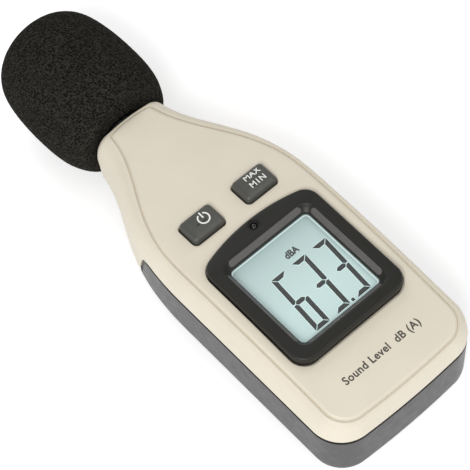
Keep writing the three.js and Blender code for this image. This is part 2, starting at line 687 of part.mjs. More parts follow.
function microphoneLead(side) {
  return wire([[side * 1.2, 71, MIC_Z], [side * 1.2, 60, MIC_Z], [side * 1.2, 44, MIC_Z], [side * 1.8, 36, 16.6],
    [side * 2.4, 28, 20], [side * 2.8, 20, 20.2]], 0.5);
}

// ---------------------------------------------------------------- battery compartment

const cellX = (number) => (number - 2) * CELL_PITCH;
const plateTop = CELL_Z + 4.4;
const plateBottom = CELL_Z - 4.4;
const PLATE = 0.4;
const SPRING_SPACE = 2.6;

// The button end of cells 1 and 3 points up the body, that of cell 2 points down.
const pointsUp = (number) => number !== 2;

function battery(number) {
  const up = pointsUp(number);
  const springEnd = BAY.low + PLATE + GAP + SPRING_SPACE;
  const low = up ? springEnd : -(BAY.high - PLATE - GAP - SPRING_SPACE);
  const nub = 1.4;
  const profile = [[0, 0], [4.6, 0], [CELL_RADIUS, 0.5], [CELL_RADIUS, CELL_LENGTH - nub - 0.6],
    [4.4, CELL_LENGTH - nub], [1.9, CELL_LENGTH - nub], [1.9, CELL_LENGTH - 0.2], [1.6, CELL_LENGTH],
    [0, CELL_LENGTH]];
  const points = profile.map(([radius, y]) => new THREE.Vector2(radius, low + y));
  const geometry = new THREE.LatheGeometry(points, 16);
  if (!up) geometry.rotateZ(Math.PI);
  return solid(geometry.translate(cellX(number), 0, CELL_Z));
}

// Contact plate against the bay's lower (-1) or upper (+1) wall.
function contactPlate(x0, x1, wall) {
  const y = wall < 0 ? BAY.low + GAP / 2 : BAY.high - PLATE - GAP / 2;
  return box(x0, x1, y, y + PLATE, plateBottom, plateTop);
}

// Conical spring from the plate on one wall towards its cell.
function contactSpring(number, wall) {
  const turns = 2.5;
  const stepsPerTurn = 9;
  const start = wall < 0 ? BAY.low + GAP / 2 + PLATE / 2 : BAY.high - GAP / 2 - PLATE / 2;
  const travel = -wall * (SPRING_SPACE - 0.25);
  const points = [];
  for (let k = 0; k <= turns * stepsPerTurn; k += 1) {
    const t = k / (turns * stepsPerTurn);
    const angle = 2 * Math.PI * turns * t;
    const radius = 3.3 - 1.6 * t;
    points.push(new THREE.Vector3(cellX(number) + radius * Math.cos(angle), start + travel * t,
      CELL_Z + radius * Math.sin(angle)));
  }
  const section = new THREE.Shape();
  section.absarc(0, 0, 0.25, 0, 2 * Math.PI);
  return solid(new THREE.ExtrudeGeometry(section, {
    steps: points.length - 1, extrudePath: new THREE.CatmullRomCurve3(points), curveSegments: 3,
    bevelEnabled: false,
  }));
}

// Upright tab of a terminal, up through the slot in the bay's roof.
function solderTab(number, wall) {
  const y = wall < 0 ? BAY.low + GAP / 2 : BAY.high - PLATE - GAP / 2;
  const x = cellX(number);
  return box(x - 1, x + 1, y, y + PLATE, plateTop - 1, BAY.roof + BAY_WALL + 1);
}

const batteryPlate = () => contactPlate(cellX(1) - 4, cellX(1) + 4, 1).add(solderTab(1, 1));
const batterySpring = () => contactPlate(cellX(3) - 4, cellX(3) + 4, -1)
  .add(contactSpring(3, -1)).add(solderTab(3, -1));
const bridgeLower = () => contactPlate(cellX(1) - 4, cellX(2) + 4, -1).add(contactSpring(1, -1));
const bridgeUpper = () => contactPlate(cellX(2) - 4, cellX(3) + 4, 1).add(contactSpring(2, 1));

function batteryLeads() {
  const roof = BAY.roof + BAY_WALL;
  const z = roof + 1.0;
  const redTab = BAY.high - PLATE - GAP / 2;
  const blackTab = BAY.low + GAP / 2 + PLATE;
  return [
    wire([[cellX(1), redTab - 0.9, z], [cellX(1), redTab - 4, z], [cellX(1) + 2, redTab - 8, z],
      [cellX(1) + 5, redTab - 10, z]], 0.5),
    wire([[cellX(3), blackTab + 0.9, z], [cellX(3), blackTab + 4, z], [cellX(3) - 2, blackTab + 8, z],
      [cellX(3) - 5, blackTab + 10, z]], 0.5),
  ];
}

// ---------------------------------------------------------------- screws

// Screw that points up: head below, cross recess in the head.
function screw(x, y, headBottom, headRadius, headHeight, shankRadius, tip) {
  const profile = [[0, headBottom], [headRadius - 0.3, headBottom], [headRadius, headBottom + 0.3],
    [headRadius, headBottom + headHeight], [shankRadius, headBottom + headHeight], [shankRadius, tip - 1],
    [0.2, tip], [0, tip]];
  const points = profile.map(([radius, z]) => new THREE.Vector2(radius, z));
  const body = solid(new THREE.LatheGeometry(points, 12).rotateX(Math.PI / 2).translate(x, y, 0));
  const arm = headRadius * 0.55;
  const slot = 0.3;
  const depth = headBottom + headHeight * 0.6;
  return body
    .subtract(box(x - arm, x + arm, y - slot, y + slot, headBottom - 1, depth))
    .subtract(box(x - slot, x + slot, y - arm, y + arm, headBottom - 1, depth));
}

const caseScrew = ([x, y]) => screw(x, y, 1.6, 1.85, 1.6, CASE_SCREW_RADIUS, 23.4);
const boardScrew = ([x, y]) => screw(x, y, PCB_BOTTOM - GAP - 1.2, 1.9, 1.2, PCB_SCREW_RADIUS, 23);

// ---------------------------------------------------------------- assembly

const meter = new THREE.Group();

function addPart(name, manifold, materialName) {
  const mesh = new THREE.Mesh(geometryOf(manifold), material(materialName));
  mesh.name = name;
  meter.add(mesh);
}

addPart('front_cover', frontCover(), 'beigePlastic');
addPart('rear_cover', rearCover(), 'darkPlastic');
addPart('battery_door', batteryDoor(), 'darkPlastic');
addPart('display_bezel', displayBezel(), 'bezelPlastic');
addPart('display_lens', displayLens(), 'clearPlastic');
addPart('lcd_glass', lcdGlass(), 'displayGlass');
addPart('backlight_panel', backlightPanel(), 'backlight');
addPart('lcd_holder', lcdHolder(), 'whitePlastic');
addPart('zebra_strip', zebraStrip(), 'zebraRubber');
addPart('main_pcb', mainBoard(), 'circuitBoard');
addPart('mcu_chip', chip(-4, -20, 3.4, 4, 8, -1), 'chipPlastic');
addPart('amplifier_chip', chip(0, 14, 2, 2.6, 4, 1), 'chipPlastic');
addPart('crystal', crystal(), 'steel');
addPart('capacitor_1', capacitor(-12, -37), 'capacitorSleeve');
addPart('capacitor_2', capacitor(10, -38), 'capacitorSleeve');
addPart('trimmer', trimmer(), 'trimmerPlastic');
addPart('light_sensor', lightSensor(), 'clearPlastic');
addPart('sensor_light_pipe', sensorLightPipe(), 'clearPlastic');
for (const [name, x] of [['power', -BUTTON_X], ['maxmin', BUTTON_X]]) {
  addPart(`tact_base_${name}`, tactBase(x), 'chipPlastic');
  addPart(`tact_plunger_${name}`, tactPlunger(x), 'whitePlastic');
  addPart(`${name}_button`, pushButton(x), 'buttonRubber');
}
addPart('microphone_barrel', microphoneBarrel(), 'microphoneMetal');
addPart('microphone_capsule', microphoneCapsule(), 'microphoneMetal');
addPart('microphone_grille', microphoneGrille(), 'microphoneMetal');
addPart('neck_bushing', neckBushing(), 'rubber');
addPart('microphone_lead_1', microphoneLead(-1), 'redWire');
addPart('microphone_lead_2', microphoneLead(1), 'blackWire');
addPart('foam_windscreen', foamWindscreen(), 'foam');
for (const number of [1, 2, 3]) addPart(`battery_${number}`, battery(number), 'cellJacket');
addPart('battery_plate', batteryPlate(), 'steel');
addPart('battery_spring', batterySpring(), 'steel');
addPart('battery_bridge_lower', bridgeLower(), 'steel');
addPart('battery_bridge_upper', bridgeUpper(), 'steel');
const [redLead, blackLead] = batteryLeads();
addPart('battery_lead_red', redLead, 'redWire');
addPart('battery_lead_black', blackLead, 'blackWire');
CASE_SCREWS.forEach((place, k) => addPart(`case_screw_${k + 1}`, caseScrew(place), 'steel'));
PCB_SCREWS.forEach((place, k) => addPart(`pcb_screw_${k + 1}`, boardScrew(place), 'steel'));

export default meter;
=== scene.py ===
"""Looks of a hand-held sound level meter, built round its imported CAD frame.

The meter lies on its back: +Z points out of the front face, +Y runs towards the microphone and +X is
to the right. Every length below is in millimetres; MM turns it into Blender's metres.
"""

import math

import bpy
import numpy as np
from mathutils import Matrix, Vector
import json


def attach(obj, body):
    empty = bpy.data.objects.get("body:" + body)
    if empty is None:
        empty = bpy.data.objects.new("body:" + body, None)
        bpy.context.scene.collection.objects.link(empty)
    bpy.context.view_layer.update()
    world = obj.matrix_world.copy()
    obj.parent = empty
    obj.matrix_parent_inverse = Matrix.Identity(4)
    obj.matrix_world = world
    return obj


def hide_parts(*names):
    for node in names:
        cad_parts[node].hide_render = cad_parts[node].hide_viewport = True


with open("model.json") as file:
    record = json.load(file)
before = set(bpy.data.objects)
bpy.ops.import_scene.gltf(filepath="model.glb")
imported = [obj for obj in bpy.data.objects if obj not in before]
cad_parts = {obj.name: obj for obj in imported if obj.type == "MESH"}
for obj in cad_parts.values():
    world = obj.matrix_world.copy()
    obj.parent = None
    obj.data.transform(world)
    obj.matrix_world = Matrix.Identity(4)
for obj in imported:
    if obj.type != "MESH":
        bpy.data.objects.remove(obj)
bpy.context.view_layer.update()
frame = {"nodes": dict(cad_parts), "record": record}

MM = 0.001

# ---- driving dimensions

# The case: a long grip, curved shoulders and a narrow neck.
BODY_BOTTOM = -54.6
BODY_TOP = 55.9
SHOULDER = ((24.5, 5), (24.5, 36), (11.3, 40), (11.3, 58))  # control points of its right side
BOTTOM_CORNER = 9.4
LEAST_BOTTOM_CORNER = 1.5
NECK_CORNER = 2.4
LEAST_NECK_CORNER = 1
END_BOW = 0.45
FRONT_Z = 28.8  # the groove round the front panel, where it is highest
FRONT_CROWN = 0.00134
CROWN_CENTRE = -7.2
PARTING_Z = 19.4
NECK_WIDEST_Z = 16
NECK_DROP_RANGE = (18, 45)  # y range in which the widest line drops to that of the neck
NECK_LIFT = 4
NECK_LIFT_START = 28
BACK_ROUND = 5
CAVITY_ROUND = 3
DRAFT = 0.35  # the back is this much narrower than the widest line
PANEL_RISE = 0.5
GROOVE_INSET = 2.5  # from the widest line to the groove, at the middle of the grip
GROOVE_BOTTOM_GAIN = 0.3
GROOVE_BOTTOM_RANGE = (10, 45)  # range of -y in which the inset grows by it
GROOVE_NECK_GAIN = 1.9
GROOVE_NECK_RANGE = (12, 38)
GROOVE_INSET_BOTTOM = 1.7
GROOVE_INSET_END = 1.5
WALL = 2
FRONT_WALL = 2.4
GAP = 0.3
HAIR = 0.001  # keeps two faces out of one plane
REVEAL_DEPTH = 0.7
REVEAL_HEIGHT = 1.1
SKIN = 0.2  # inner parts of the rear cover stop this far inside its sides
INSIDE_Z = 20  # in the hollow, where the cutters of the front wall start
BOSS_RADIUS = 2.2

BOTTOM_STEPS = 14  # points on each stretch of the case's outline
BOTTOM_CORNER_STEPS = 18
SIDE_STEPS = 100
NECK_CORNER_STEPS = 10
NECK_END_STEPS = 9

PARTING_POINTS = ((-70, PARTING_Z), (16, PARTING_Z), (19.5, 19.1), (21.4, 17.9), (22.8, 15.2), (24.4, 11),
                  (25.6, 7.2), (27, 4.3), (29.5, 3), (34, 2.9), (45, 4.6), (56, 6.4), (70, 6.4))

WINDOW = (0, -15.4, 13.15, 13.95)  # x, y, half width and half height of the display window
WINDOW_CORNER = 1.5
BEZEL_HALF_X = 18.1
BEZEL_BOTTOM = -34.5
BEZEL_SHOULDER = 3.8
BEZEL_CROWN = 5.85
BEZEL_CORNER = 4.6
BEZEL_ARCH_REACH = 1.2  # the top arch runs this far into the upper corners
BEZEL_CORNER_LIFT = 0.2
BEZEL_CORNER_SWEEP = 72.8  # degrees
BEZEL_TOP = 30.9
BEZEL_SEAT = 27.6
SKIRT_GROW = 2.6  # the frame's skirt stands this far outside the window
SKIRT_CORNER = 1.8
SKIRT_DEPTH = 1.1
LENS_RIM = 1.3
LENS_TOP = 27.9
GLASS_TOP = 26.8
SENSOR_Y = 3.6
SENSOR_HOLE = 1.9

BUTTON_X = 8.9
BUTTON_Y = 13.5
BUTTON_HALF_X = 5.1
BUTTON_HALF_Y = 3.6
BUTTON_CORNER = 1.1
BUTTON_TOP = 30.5
FLANGE_HALF_X = 6
FLANGE_HALF_Y = 4.5
FLANGE_TOP = 25.2
FLANGE_BOTTOM = 24.4
STEM_RADIUS = 1.8
STEM_BOTTOM = 23.6
POWER_PLACE = (-7.7, 14.1)
LEGEND_X = 7.3
LEGEND_HEIGHT = 1.7

MIC_Z = 14.8
MIC_RADIUS = 6.35
MIC_TIP = 82
BARREL_BORE = 5.6
BARREL_START = 43
BARREL_END = 76.5
CAP_BORE = 5.4
CAP_HOLE = 0.6
CAP_HOLE_RINGS = ((1, 0), (6, 2.0), (12, 3.9))  # number of holes and radius of each ring
NECK_BORE = 7.9
NECK_BORE_START = 49
FOAM_START = 56.3
FOAM_CENTRE = 75
FOAM_TIP = 97
FOAM_STEP = 0.24  # between the skin's rows
FOAM_SIDES = 460
COARSE_PORE = 0.62
FINE_PORE = 0.36
COARSE_SHARE = 0.62  # weight of the coarse pores, against the fine ones
PORE_DEPTH = 0.26

CELL_RADIUS = 5.2
CELL_LENGTH = 44.5
CELL_PITCH = 11
CELL_Z = 8
CELL_BAND = 13  # length of the brass-coloured band at the button end
PLATE_THICKNESS = 0.4
SPRING_ROOM = 2.6
BAY_HALF_X = 16.9
BAY_LOW = -51
BAY_HIGH = -2.6
BAY_FLOOR = 1
BAY_ROOF = 13.7
BAY_WALL = 1.1
LEAD_SLOT = (1.6, 2.3)  # half sizes of the two slots through the bay's roof
LEAD_SLOT_INSET = 2
DOOR_HALF_X = 16
DOOR_FLANGE_X = 17.2
DOOR_CUT_START = -62
DOOR_END = -2
DOOR_LIP = 1.15
DOOR_THICKNESS = 2.3
RIBS = 6  # grooves of the thumb patch
RIB_START = -46
RIB_PITCH = 1.8
RIB_HALF_LENGTH = 7
RIB_DEPTH = 0.4

CASE_SCREWS = ((20.1, -42), (-20.1, -42), (17.3, 14), (-17.3, 14))
CASE_SCREW_RADIUS = 0.95
HEAD_RECESS = 2.15
HEAD_SEAT = 3.6

CAPITAL_HEIGHT = 0.73  # of a capital in a font of size 1
INK_THICKNESS = 0.03

CAMERA_PLACE = (-172.07, -221.6, 507.86)
CAMERA_TURN = (30.366, 3.056, -41.573)  # degrees about X, Y and Z
CAMERA_LENS = 168.5
WORLD_STRENGTH = 0.5
LAMPS = (  # name, place, target, size and power
    ("key", (-520, -380, 700), (0, 0, 15), 420, 5.4),
    ("fill", (250, -450, 600), (0, 0, 15), 500, 0.9),
    ("back", (150, 600, 500), (0, 20, 15), 400, 0.9),
)
FLOOR_Z = -3.4
FLOOR_HALF = 6000


# ---- small helpers

def smooth_step(value, low, high):
    """0 below low, 1 above high, and a smooth rise between them."""
    share = np.clip((np.asarray(value, float) - low) / (high - low), 0, 1)
    return share * share * (3 - 2 * share)


def arc(centre, radius, start, end, steps):
    """Points on an arc, angles in degrees, with the end point left out."""
    angles = np.radians(np.linspace(start, end, steps, endpoint=False))
    return np.column_stack([centre[0] + radius * np.cos(angles), centre[1] + radius * np.sin(angles)])


def circle(x, y, radius, sides):
    """Points all round a circle, from the lowest one."""
    return arc((x, y), radius, -90, 270, sides)


def line(start, end, steps):
    """Points on a straight line, with the end point left out."""
    share = np.linspace(0, 1, steps, endpoint=False)[:, None]
    return np.asarray(start, float) * (1 - share) + np.asarray(end, float) * share


def bezier(points, steps):
    """Points on the cubic curve with the four control points."""
    share = np.linspace(0, 1, steps)[:, None]
    weights = ((1 - share) ** 3, 3 * share * (1 - share) ** 2, 3 * share**2 * (1 - share), share**3)
    return sum(weight * point for weight, point in zip(weights, np.asarray(points, float)))


def mirrored(half):
    """A closed outline from its right half, which starts at the lower middle and ends at the upper one."""
    left = half[1:-1][::-1] * (-1, 1)
    return np.vstack([half, left])


def chaikin(points, rounds):
    """The same open line with its corners cut smooth."""
    points = np.asarray(points, float)
    for _ in range(rounds):
        first = points[:-1] * 0.75 + points[1:] * 0.25
        second = points[:-1] * 0.25 + points[1:] * 0.75
        cut = np.stack([first, second], 1).reshape(-1, points.shape[1])
        points = np.vstack([points[:1], cut, points[-1:]])
    return points


# ---- mesh helpers

def add_object(name, data):
    """New object in the scene."""
    thing = bpy.data.objects.new(name, data)
    bpy.context.scene.collection.objects.link(thing)
    return thing


def mesh_object(name, vertices, faces):
    """New object from vertices in millimetres."""
    mesh = bpy.data.meshes.new(name)
    mesh.from_pydata([tuple(v) for v in np.asarray(vertices, float) * MM], [], faces)
    mesh.validate()
    return add_object(name, mesh)


def loft(name, rings):
    """Closed solid through a stack of rings. Point i of a ring pairs with point n - i across X in both
    caps, so a cap follows the crown of its ring."""
    count = len(rings[0])
    faces = []
    for r in range(len(rings) - 1):
        for i in range(count):
            a = r * count + i
            b = r * count + (i + 1) % count
            faces.append((a, b, b + count, a + count))
    top = (len(rings) - 1) * count
    for i in range(count // 2):
        quad = [i, i + 1, count - i - 1, (count - i) % count]
        corners = list(dict.fromkeys(quad))
        if len(corners) > 2:
            faces.append(tuple(reversed(corners)))
            faces.append(tuple(top + q for q in corners))
    return mesh_object(name, np.vstack(rings), faces)


def level(outline, z):
    """The outline laid flat at height z."""
    return np.column_stack([outline, np.full(len(outline), float(z))])


def prism(name, outline, z0, z1):
    """Upright solid with the same outline from z0 to z1."""
    return loft(name, [level(outline, z0), level(outline, z1)])


def block(name, x0, x1, y0, y1, z0, z1):
    """Box between two values of x, of y and of z."""
    outline = np.array([((x0 + x1) / 2, y0), (x1, y0), (x1, y1), ((x0 + x1) / 2, y1), (x0, y1), (x0, y0)])
    return prism(name, outline, z0, z1)


def turned(name, profile, x=0.0, z=MIC_Z, sides=96):
    """Solid of revolution about the line through (x, z) along Y. The profile holds (radius, y) pairs; a
    radius of 0 closes it on the axis, and a profile with none is a closed ring."""
    vertices, rows = [], []
    for radius, y in profile:
        if radius == 0:
            rows.append([len(vertices)] * sides)
            vertices.append((x, y, z))
        else:
            rows.append(range(len(vertices), len(vertices) + sides))
            for k in range(sides):
                angle = 2 * math.pi * k / sides
                vertices.append((x + radius * math.cos(angle), y, z + radius * math.sin(angle)))
    pairs = list(zip(rows, rows[1:]))
    if profile[0][0] and profile[-1][0]:
        pairs.append((rows[-1], rows[0]))
    faces = []
    for low, high in pairs:
        for k in range(sides):
            after = (k + 1) % sides
            quad = [low[k], high[k], high[after], low[after]]
            corners = list(dict.fromkeys(quad))
            if len(corners) > 2:
                faces.append(tuple(corners))
    return mesh_object(name, vertices, faces)


def post(name, x, y, radius, z0, z1, sides=48):
    """Upright cylinder."""
    return prism(name, circle(x, y, radius, sides), z0, z1)


def boolean(piece, operation, *cutters, solver="MANIFOLD"):
    """Cuts, joins or intersects the piece with each cutter in turn, and removes the cutters."""
    for cutter in cutters:
        modifier = piece.modifiers.new("boolean", "BOOLEAN")
        modifier.operation = operation
        modifier.solver = solver
        modifier.object = cutter
        graph = bpy.context.evaluated_depsgraph_get()
        mesh = bpy.data.meshes.new_from_object(piece.evaluated_get(graph))
        piece.modifiers.clear()
        old = piece.data
        piece.data = mesh
        bpy.data.meshes.remove(old)
        bpy.data.objects.remove(cutter)
    return piece


def smooth(piece, degrees=35):
    """Smooth shading, with edges sharper than the angle kept."""
    piece.data.shade_smooth()
    piece.data.set_sharp_from_angle(angle=math.radians(degrees))
    return piece


def dress(piece, body, slot, *nodes, material=None):
    """Gives the piece its body, its material slot, the CAD nodes that it stands for, and the material of
    its slot or another one."""
    piece.data.materials.clear()
    piece.data.materials.append(material or LOOKS[slot])
    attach(piece, body)
    if nodes:
        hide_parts(*nodes)
    return piece


# ---- materials

class Shader:
    """A node material with one Principled shader, and short ways to add procedural detail to it."""

    def __init__(self, name, colour, roughness, **sockets):
        self.material = bpy.data.materials.new(name)
        self.material.use_nodes = True
        self.material.diffuse_color = (*colour, 1)
        self.nodes = self.material.node_tree.nodes
        self.links = self.material.node_tree.links
        self.principled = self.nodes["Principled BSDF"]
        self.set("Base Color", (*colour, 1))
        self.set("Roughness", roughness)
        for socket, value in sockets.items():
            self.set(socket.replace("_", " "), value)
        self.place = self.nodes.new("ShaderNodeTexCoord").outputs["Object"]

    def set(self, socket, value):
        self.principled.inputs[socket].default_value = value

    def noise(self, size, detail=3.0):
        """Noise whose features are about size millimetres across."""
        node = self.nodes.new("ShaderNodeTexNoise")
        node.inputs["Scale"].default_value = 1 / (size * MM)
        node.inputs["Detail"].default_value = detail
        self.links.new(self.place, node.inputs["Vector"])
        return node.outputs["Fac"]

    def ramp(self, factor, low, high, start=0.3, end=0.7):
        """Blends two colours, or two grey values, as the factor goes from start to end."""
        node = self.nodes.new("ShaderNodeValToRGB")
        for element, colour, position in zip(node.color_ramp.elements, (low, high), (start, end)):
            rgb = colour if isinstance(colour, tuple) else (colour, colour, colour)
            element.color = (*rgb, 1)
            element.position = position
        self.links.new(factor, node.inputs["Fac"])
        return node.outputs["Color"]

    def colour(self, output):
        self.links.new(output, self.principled.inputs["Base Color"])

    def roughness(self, factor, low, high):
        self.links.new(self.ramp(factor, low, high), self.principled.inputs["Roughness"])

    def bump(self, height, depth):
        """Bumps depth millimetres deep."""
        node = self.nodes.new("ShaderNodeBump")
        node.inputs["Strength"].default_value = 1
        node.inputs["Distance"].default_value = depth * MM
        self.links.new(height, node.inputs["Height"])
        self.links.new(node.outputs["Normal"], self.principled.inputs["Normal"])


def shaded(colour, factor):
    return tuple(channel * factor for channel in colour)


def moulded(name, colour, roughness, grain=0.25, depth=0.006, mottle=0.02, **sockets):
    """Moulded plastic or rubber: a fine spark-eroded grain, faint mottling and uneven gloss."""
    shader = Shader(name, colour, roughness, **sockets)
    shader.colour(shader.ramp(shader.noise(9), shaded(colour, 1 - mottle), shaded(colour, 1 + mottle)))
    shader.roughness(shader.noise(2.5), roughness - 0.04, roughness + 0.05)
    shader.bump(shader.noise(grain, 2), depth)
    return shader.material


def metal(name, colour, roughness):
    """Drawn or turned metal with fine streaks."""
    shader = Shader(name, colour, roughness, Metallic=1.0)
    shader.colour(shader.ramp(shader.noise(1.2), shaded(colour, 0.9), shaded(colour, 1.06)))
    shader.roughness(shader.noise(0.3), roughness - 0.07, roughness + 0.1)
    shader.bump(shader.noise(0.15), 0.003)
    return shader.material


def clear(name, colour, alpha):
    """Clear plastic, tinted and faintly hazy."""
    shader = Shader(name, colour, 0.06, Alpha=alpha)
    shader.roughness(shader.noise(6), 0.03, 0.09)
    shader.material.surface_render_method = "BLENDED"
    return shader.material


def display_back(name):
    """The lit liquid crystal: pale blue-green, with painted shade making it a little darker towards its top,
    where the window's wall shades it.
    """
    colour = (0.39, 0.51, 0.495)
    shader = Shader(name, colour, 0.35, Emission_Strength=0.3)
    separate = shader.nodes.new("ShaderNodeSeparateXYZ")
    shader.links.new(shader.place, separate.inputs["Vector"])
    # painted shade: colour and glow fall off towards the top of the window
    painted_top_shade = shader.nodes.new("ShaderNodeMapRange")
    painted_top_shade.inputs["From Min"].default_value = (WINDOW[1] - WINDOW[3]) * MM
    painted_top_shade.inputs["From Max"].default_value = (WINDOW[1] + WINDOW[3]) * MM
    shader.links.new(separate.outputs["Y"], painted_top_shade.inputs["Value"])
    shaded_tint = shader.ramp(painted_top_shade.outputs["Result"], shaded(colour, 1.06), shaded(colour, 0.86), 0.35, 1.0)
    shader.colour(shaded_tint)
    shader.links.new(shaded_tint, shader.principled.inputs["Emission Color"])
    shader.bump(shader.noise(0.2, 2), 0.002)
    return shader.material


def foam_material(name):
    """Open-cell foam: the pores between the strands are painted darker, painted shade for their hollows."""
    pore_shade = (0.002, 0.0018, 0.0014)
    strand = (0.042, 0.039, 0.033)
    shader = Shader(name, strand, 0.95, Specular_IOR_Level=0.04)
    depth = shader.nodes.new("ShaderNodeAttribute")
    depth.attribute_name = "strand"
    # painted shade: the colour darkens into the pores where the strand weight is low
    shader.colour(shader.ramp(depth.outputs["Fac"], pore_shade, strand, 0.55, 1.0))
    shader.bump(shader.noise(0.12, 2), 0.05)
    return shader.material


def board_material(name):
    """Circuit board with solder mask over copper areas."""
    mask = (0.012, 0.13, 0.04)
    shader = Shader(name, mask, 0.3)
    shader.colour(shader.ramp(shader.noise(3.5, 0), mask, (0.02, 0.2, 0.065), 0.48, 0.52))
    shader.roughness(shader.noise(1.5), 0.25, 0.4)
    shader.bump(shader.noise(3.5, 0), 0.03)
    return shader.material


BEIGE = (0.655, 0.6, 0.49)
DARK = (0.034, 0.032, 0.033)
BLACK = (0.0125, 0.012, 0.0095)
BUTTON_GREY = (0.062, 0.062, 0.055)

LOOKS = {
    "beige_plastic": moulded("beige_plastic", BEIGE, 0.48, grain=0.3, depth=0.004, mottle=0.015),
    "dark_plastic": moulded("dark_plastic", DARK, 0.42, grain=0.22, depth=0.012, mottle=0.04),
    "bezel_plastic": moulded("bezel_plastic", BLACK, 0.45, grain=0.25, depth=0.008, mottle=0.05,
                             Specular_IOR_Level=0.35),
    "button_plastic": moulded("button_plastic", BUTTON_GREY, 0.4, grain=0.3, depth=0.008, mottle=0.06),
    "clear_plastic": clear("clear_plastic", (0.85, 0.9, 0.89), 0.03),
    "display_glass": display_back("display_glass"),
    "backlight": moulded("backlight", (0.82, 0.87, 0.86), 0.3),
    "white_plastic": moulded("white_plastic", (0.8, 0.8, 0.77), 0.4),
    "zebra_rubber": moulded("zebra_rubber", (0.62, 0.25, 0.32), 0.7),
    "circuit_board": board_material("circuit_board"),
    "chip_plastic": moulded("chip_plastic", (0.012, 0.012, 0.013), 0.5),
    "capacitor_sleeve": moulded("capacitor_sleeve", (0.02, 0.035, 0.15), 0.3),
    "trimmer_plastic": moulded("trimmer_plastic", (0.03, 0.12, 0.45), 0.4),
    "steel": metal("steel", (0.56, 0.55, 0.54), 0.34),
    "microphone_metal": metal("microphone_metal", (0.42, 0.42, 0.43), 0.3),
    "bushing_rubber": moulded("bushing_rubber", (0.015, 0.015, 0.015), 0.7, depth=0.02),
    "foam": foam_material("foam"),
    "cell_jacket": moulded("cell_jacket", (0.02, 0.16, 0.085), 0.25, mottle=0.06),
    "red_wire": moulded("red_wire", (0.45, 0.02, 0.015), 0.45),
    "black_wire": moulded("black_wire", (0.01, 0.01, 0.01), 0.45),
}
# lighter grey than the bezel: the slopes' matte texture, and painted light for slopes that face the lamps
LIT_SLOPE_TEXTURE = moulded("lit_slope_texture", (0.105, 0.1, 0.098), 0.5, grain=0.35, depth=0.12, mottle=0.1)
SEGMENT_INK = moulded("segment_ink", (0.004, 0.004, 0.004), 0.4, mottle=0.2)
# pale glowing ink for the halo round the segments and for the painted highlight round the display
HALO_AND_HIGHLIGHT_INK = moulded("segment_halo_and_highlight", (0.62, 0.76, 0.75), 0.4, Emission_Strength=0.3,
                   Emission_Color=(0.62, 0.76, 0.75, 1))
WHITE_INK = moulded("white_ink", (0.78, 0.78, 0.75), 0.5, mottle=0.05)
BROWN_INK = moulded("brown_ink", (0.06, 0.055, 0.045), 0.6, mottle=0.1)
SMOKED = moulded("smoked_lens", (0.012, 0.012, 0.012), 0.12, mottle=0.1, depth=0.001)
BRASS = metal("brass", (0.7, 0.5, 0.2), 0.3)


# ---- body shape

SHOULDER_LINE = bezier(SHOULDER, 4001)
SHOULDER_SLOPE = np.gradient(SHOULDER_LINE[:, 0], SHOULDER_LINE[:, 1])


def side_x(y, inset):
    """Half width of the body at y, moved inwards square to the side."""
    slope = np.interp(y, SHOULDER_LINE[:, 1], SHOULDER_SLOPE, left=0)
    return np.interp(y, SHOULDER_LINE[:, 1], SHOULDER_LINE[:, 0]) - inset * np.hypot(1, slope)


def groove_height(y):
    """Height of the groove round the front panel, which falls away to both ends."""
    return FRONT_Z - FRONT_CROWN * (np.asarray(y, float) - CROWN_CENTRE) ** 2


def panel_height(y):
    return groove_height(y) + PANEL_RISE


def back_height(y):
    """Height of the back, which lifts under the neck."""
    return NECK_LIFT * smooth_step(y, NECK_LIFT_START, BODY_TOP)


def widest_height(y):
    return PARTING_Z + (NECK_WIDEST_Z - PARTING_Z) * smooth_step(y, *NECK_DROP_RANGE)


def groove_inset(y):
    """How far the groove lies inside the widest line of the side."""
    y = np.asarray(y, float)
    bottom_gain = GROOVE_BOTTOM_GAIN * smooth_step(-y, *GROOVE_BOTTOM_RANGE)
    neck_gain = GROOVE_NECK_GAIN * smooth_step(y, *GROOVE_NECK_RANGE)
    return GROOVE_INSET + bottom_gain + neck_gain


def body_ring(side, bottom, end, height):
    """Outline of the body moved inwards: side(y), bottom and end are the insets, height(y) gives z."""
    y0 = BODY_BOTTOM + bottom
    y1 = BODY_TOP - end
    low_corner = max(BOTTOM_CORNER - (bottom + float(side(BODY_BOTTOM))) / 2, LEAST_BOTTOM_CORNER)
    top_corner = max(NECK_CORNER - end / 2, LEAST_NECK_CORNER)
    y_start = y0 + END_BOW + low_corner
    y_end = y1 - END_BOW - top_corner
    start_x = float(side_x(y_start, side(y_start)))
    end_x = float(side_x(y_end, side(y_end)))
    share = np.linspace(0, 1, BOTTOM_STEPS, endpoint=False)
    bottom_line = np.column_stack([share * (start_x - low_corner), y0 + END_BOW * share**2])
    side_y = np.linspace(y_start, y_end, SIDE_STEPS, endpoint=False)
    side_line = np.column_stack([side_x(side_y, side(side_y)), side_y])
    share = np.linspace(1, 0, NECK_END_STEPS)
    end_line = np.column_stack([share * (end_x - top_corner), y1 - END_BOW * share**2])
    outline = mirrored(np.vstack([
        bottom_line,
        arc((start_x - low_corner, y_start), low_corner, -90, 0, BOTTOM_CORNER_STEPS),
        side_line,
        arc((end_x - top_corner, y_end), top_corner, 0, 90, NECK_CORNER_STEPS),
        end_line,
    ]))
    return np.column_stack([outline, height(outline[:, 1])])


def even_ring(inset, height):
    """Outline of the body moved inwards by the same distance all round."""
    return body_ring(lambda y: inset, inset, inset, height)


def upper_ring(degrees, extra, top):
    """Ring on the bulged upper side, from the widest line (angle 0) to the groove (90 degrees)."""
    angle = math.radians(degrees)
    share = 1 - math.cos(angle)
    return body_ring(
        lambda y: extra + share * groove_inset(y),
        extra + share * GROOVE_INSET_BOTTOM,
        extra + share * GROOVE_INSET_END,
        lambda y: widest_height(y) + (top(y) - widest_height(y)) * math.sin(angle),
    )


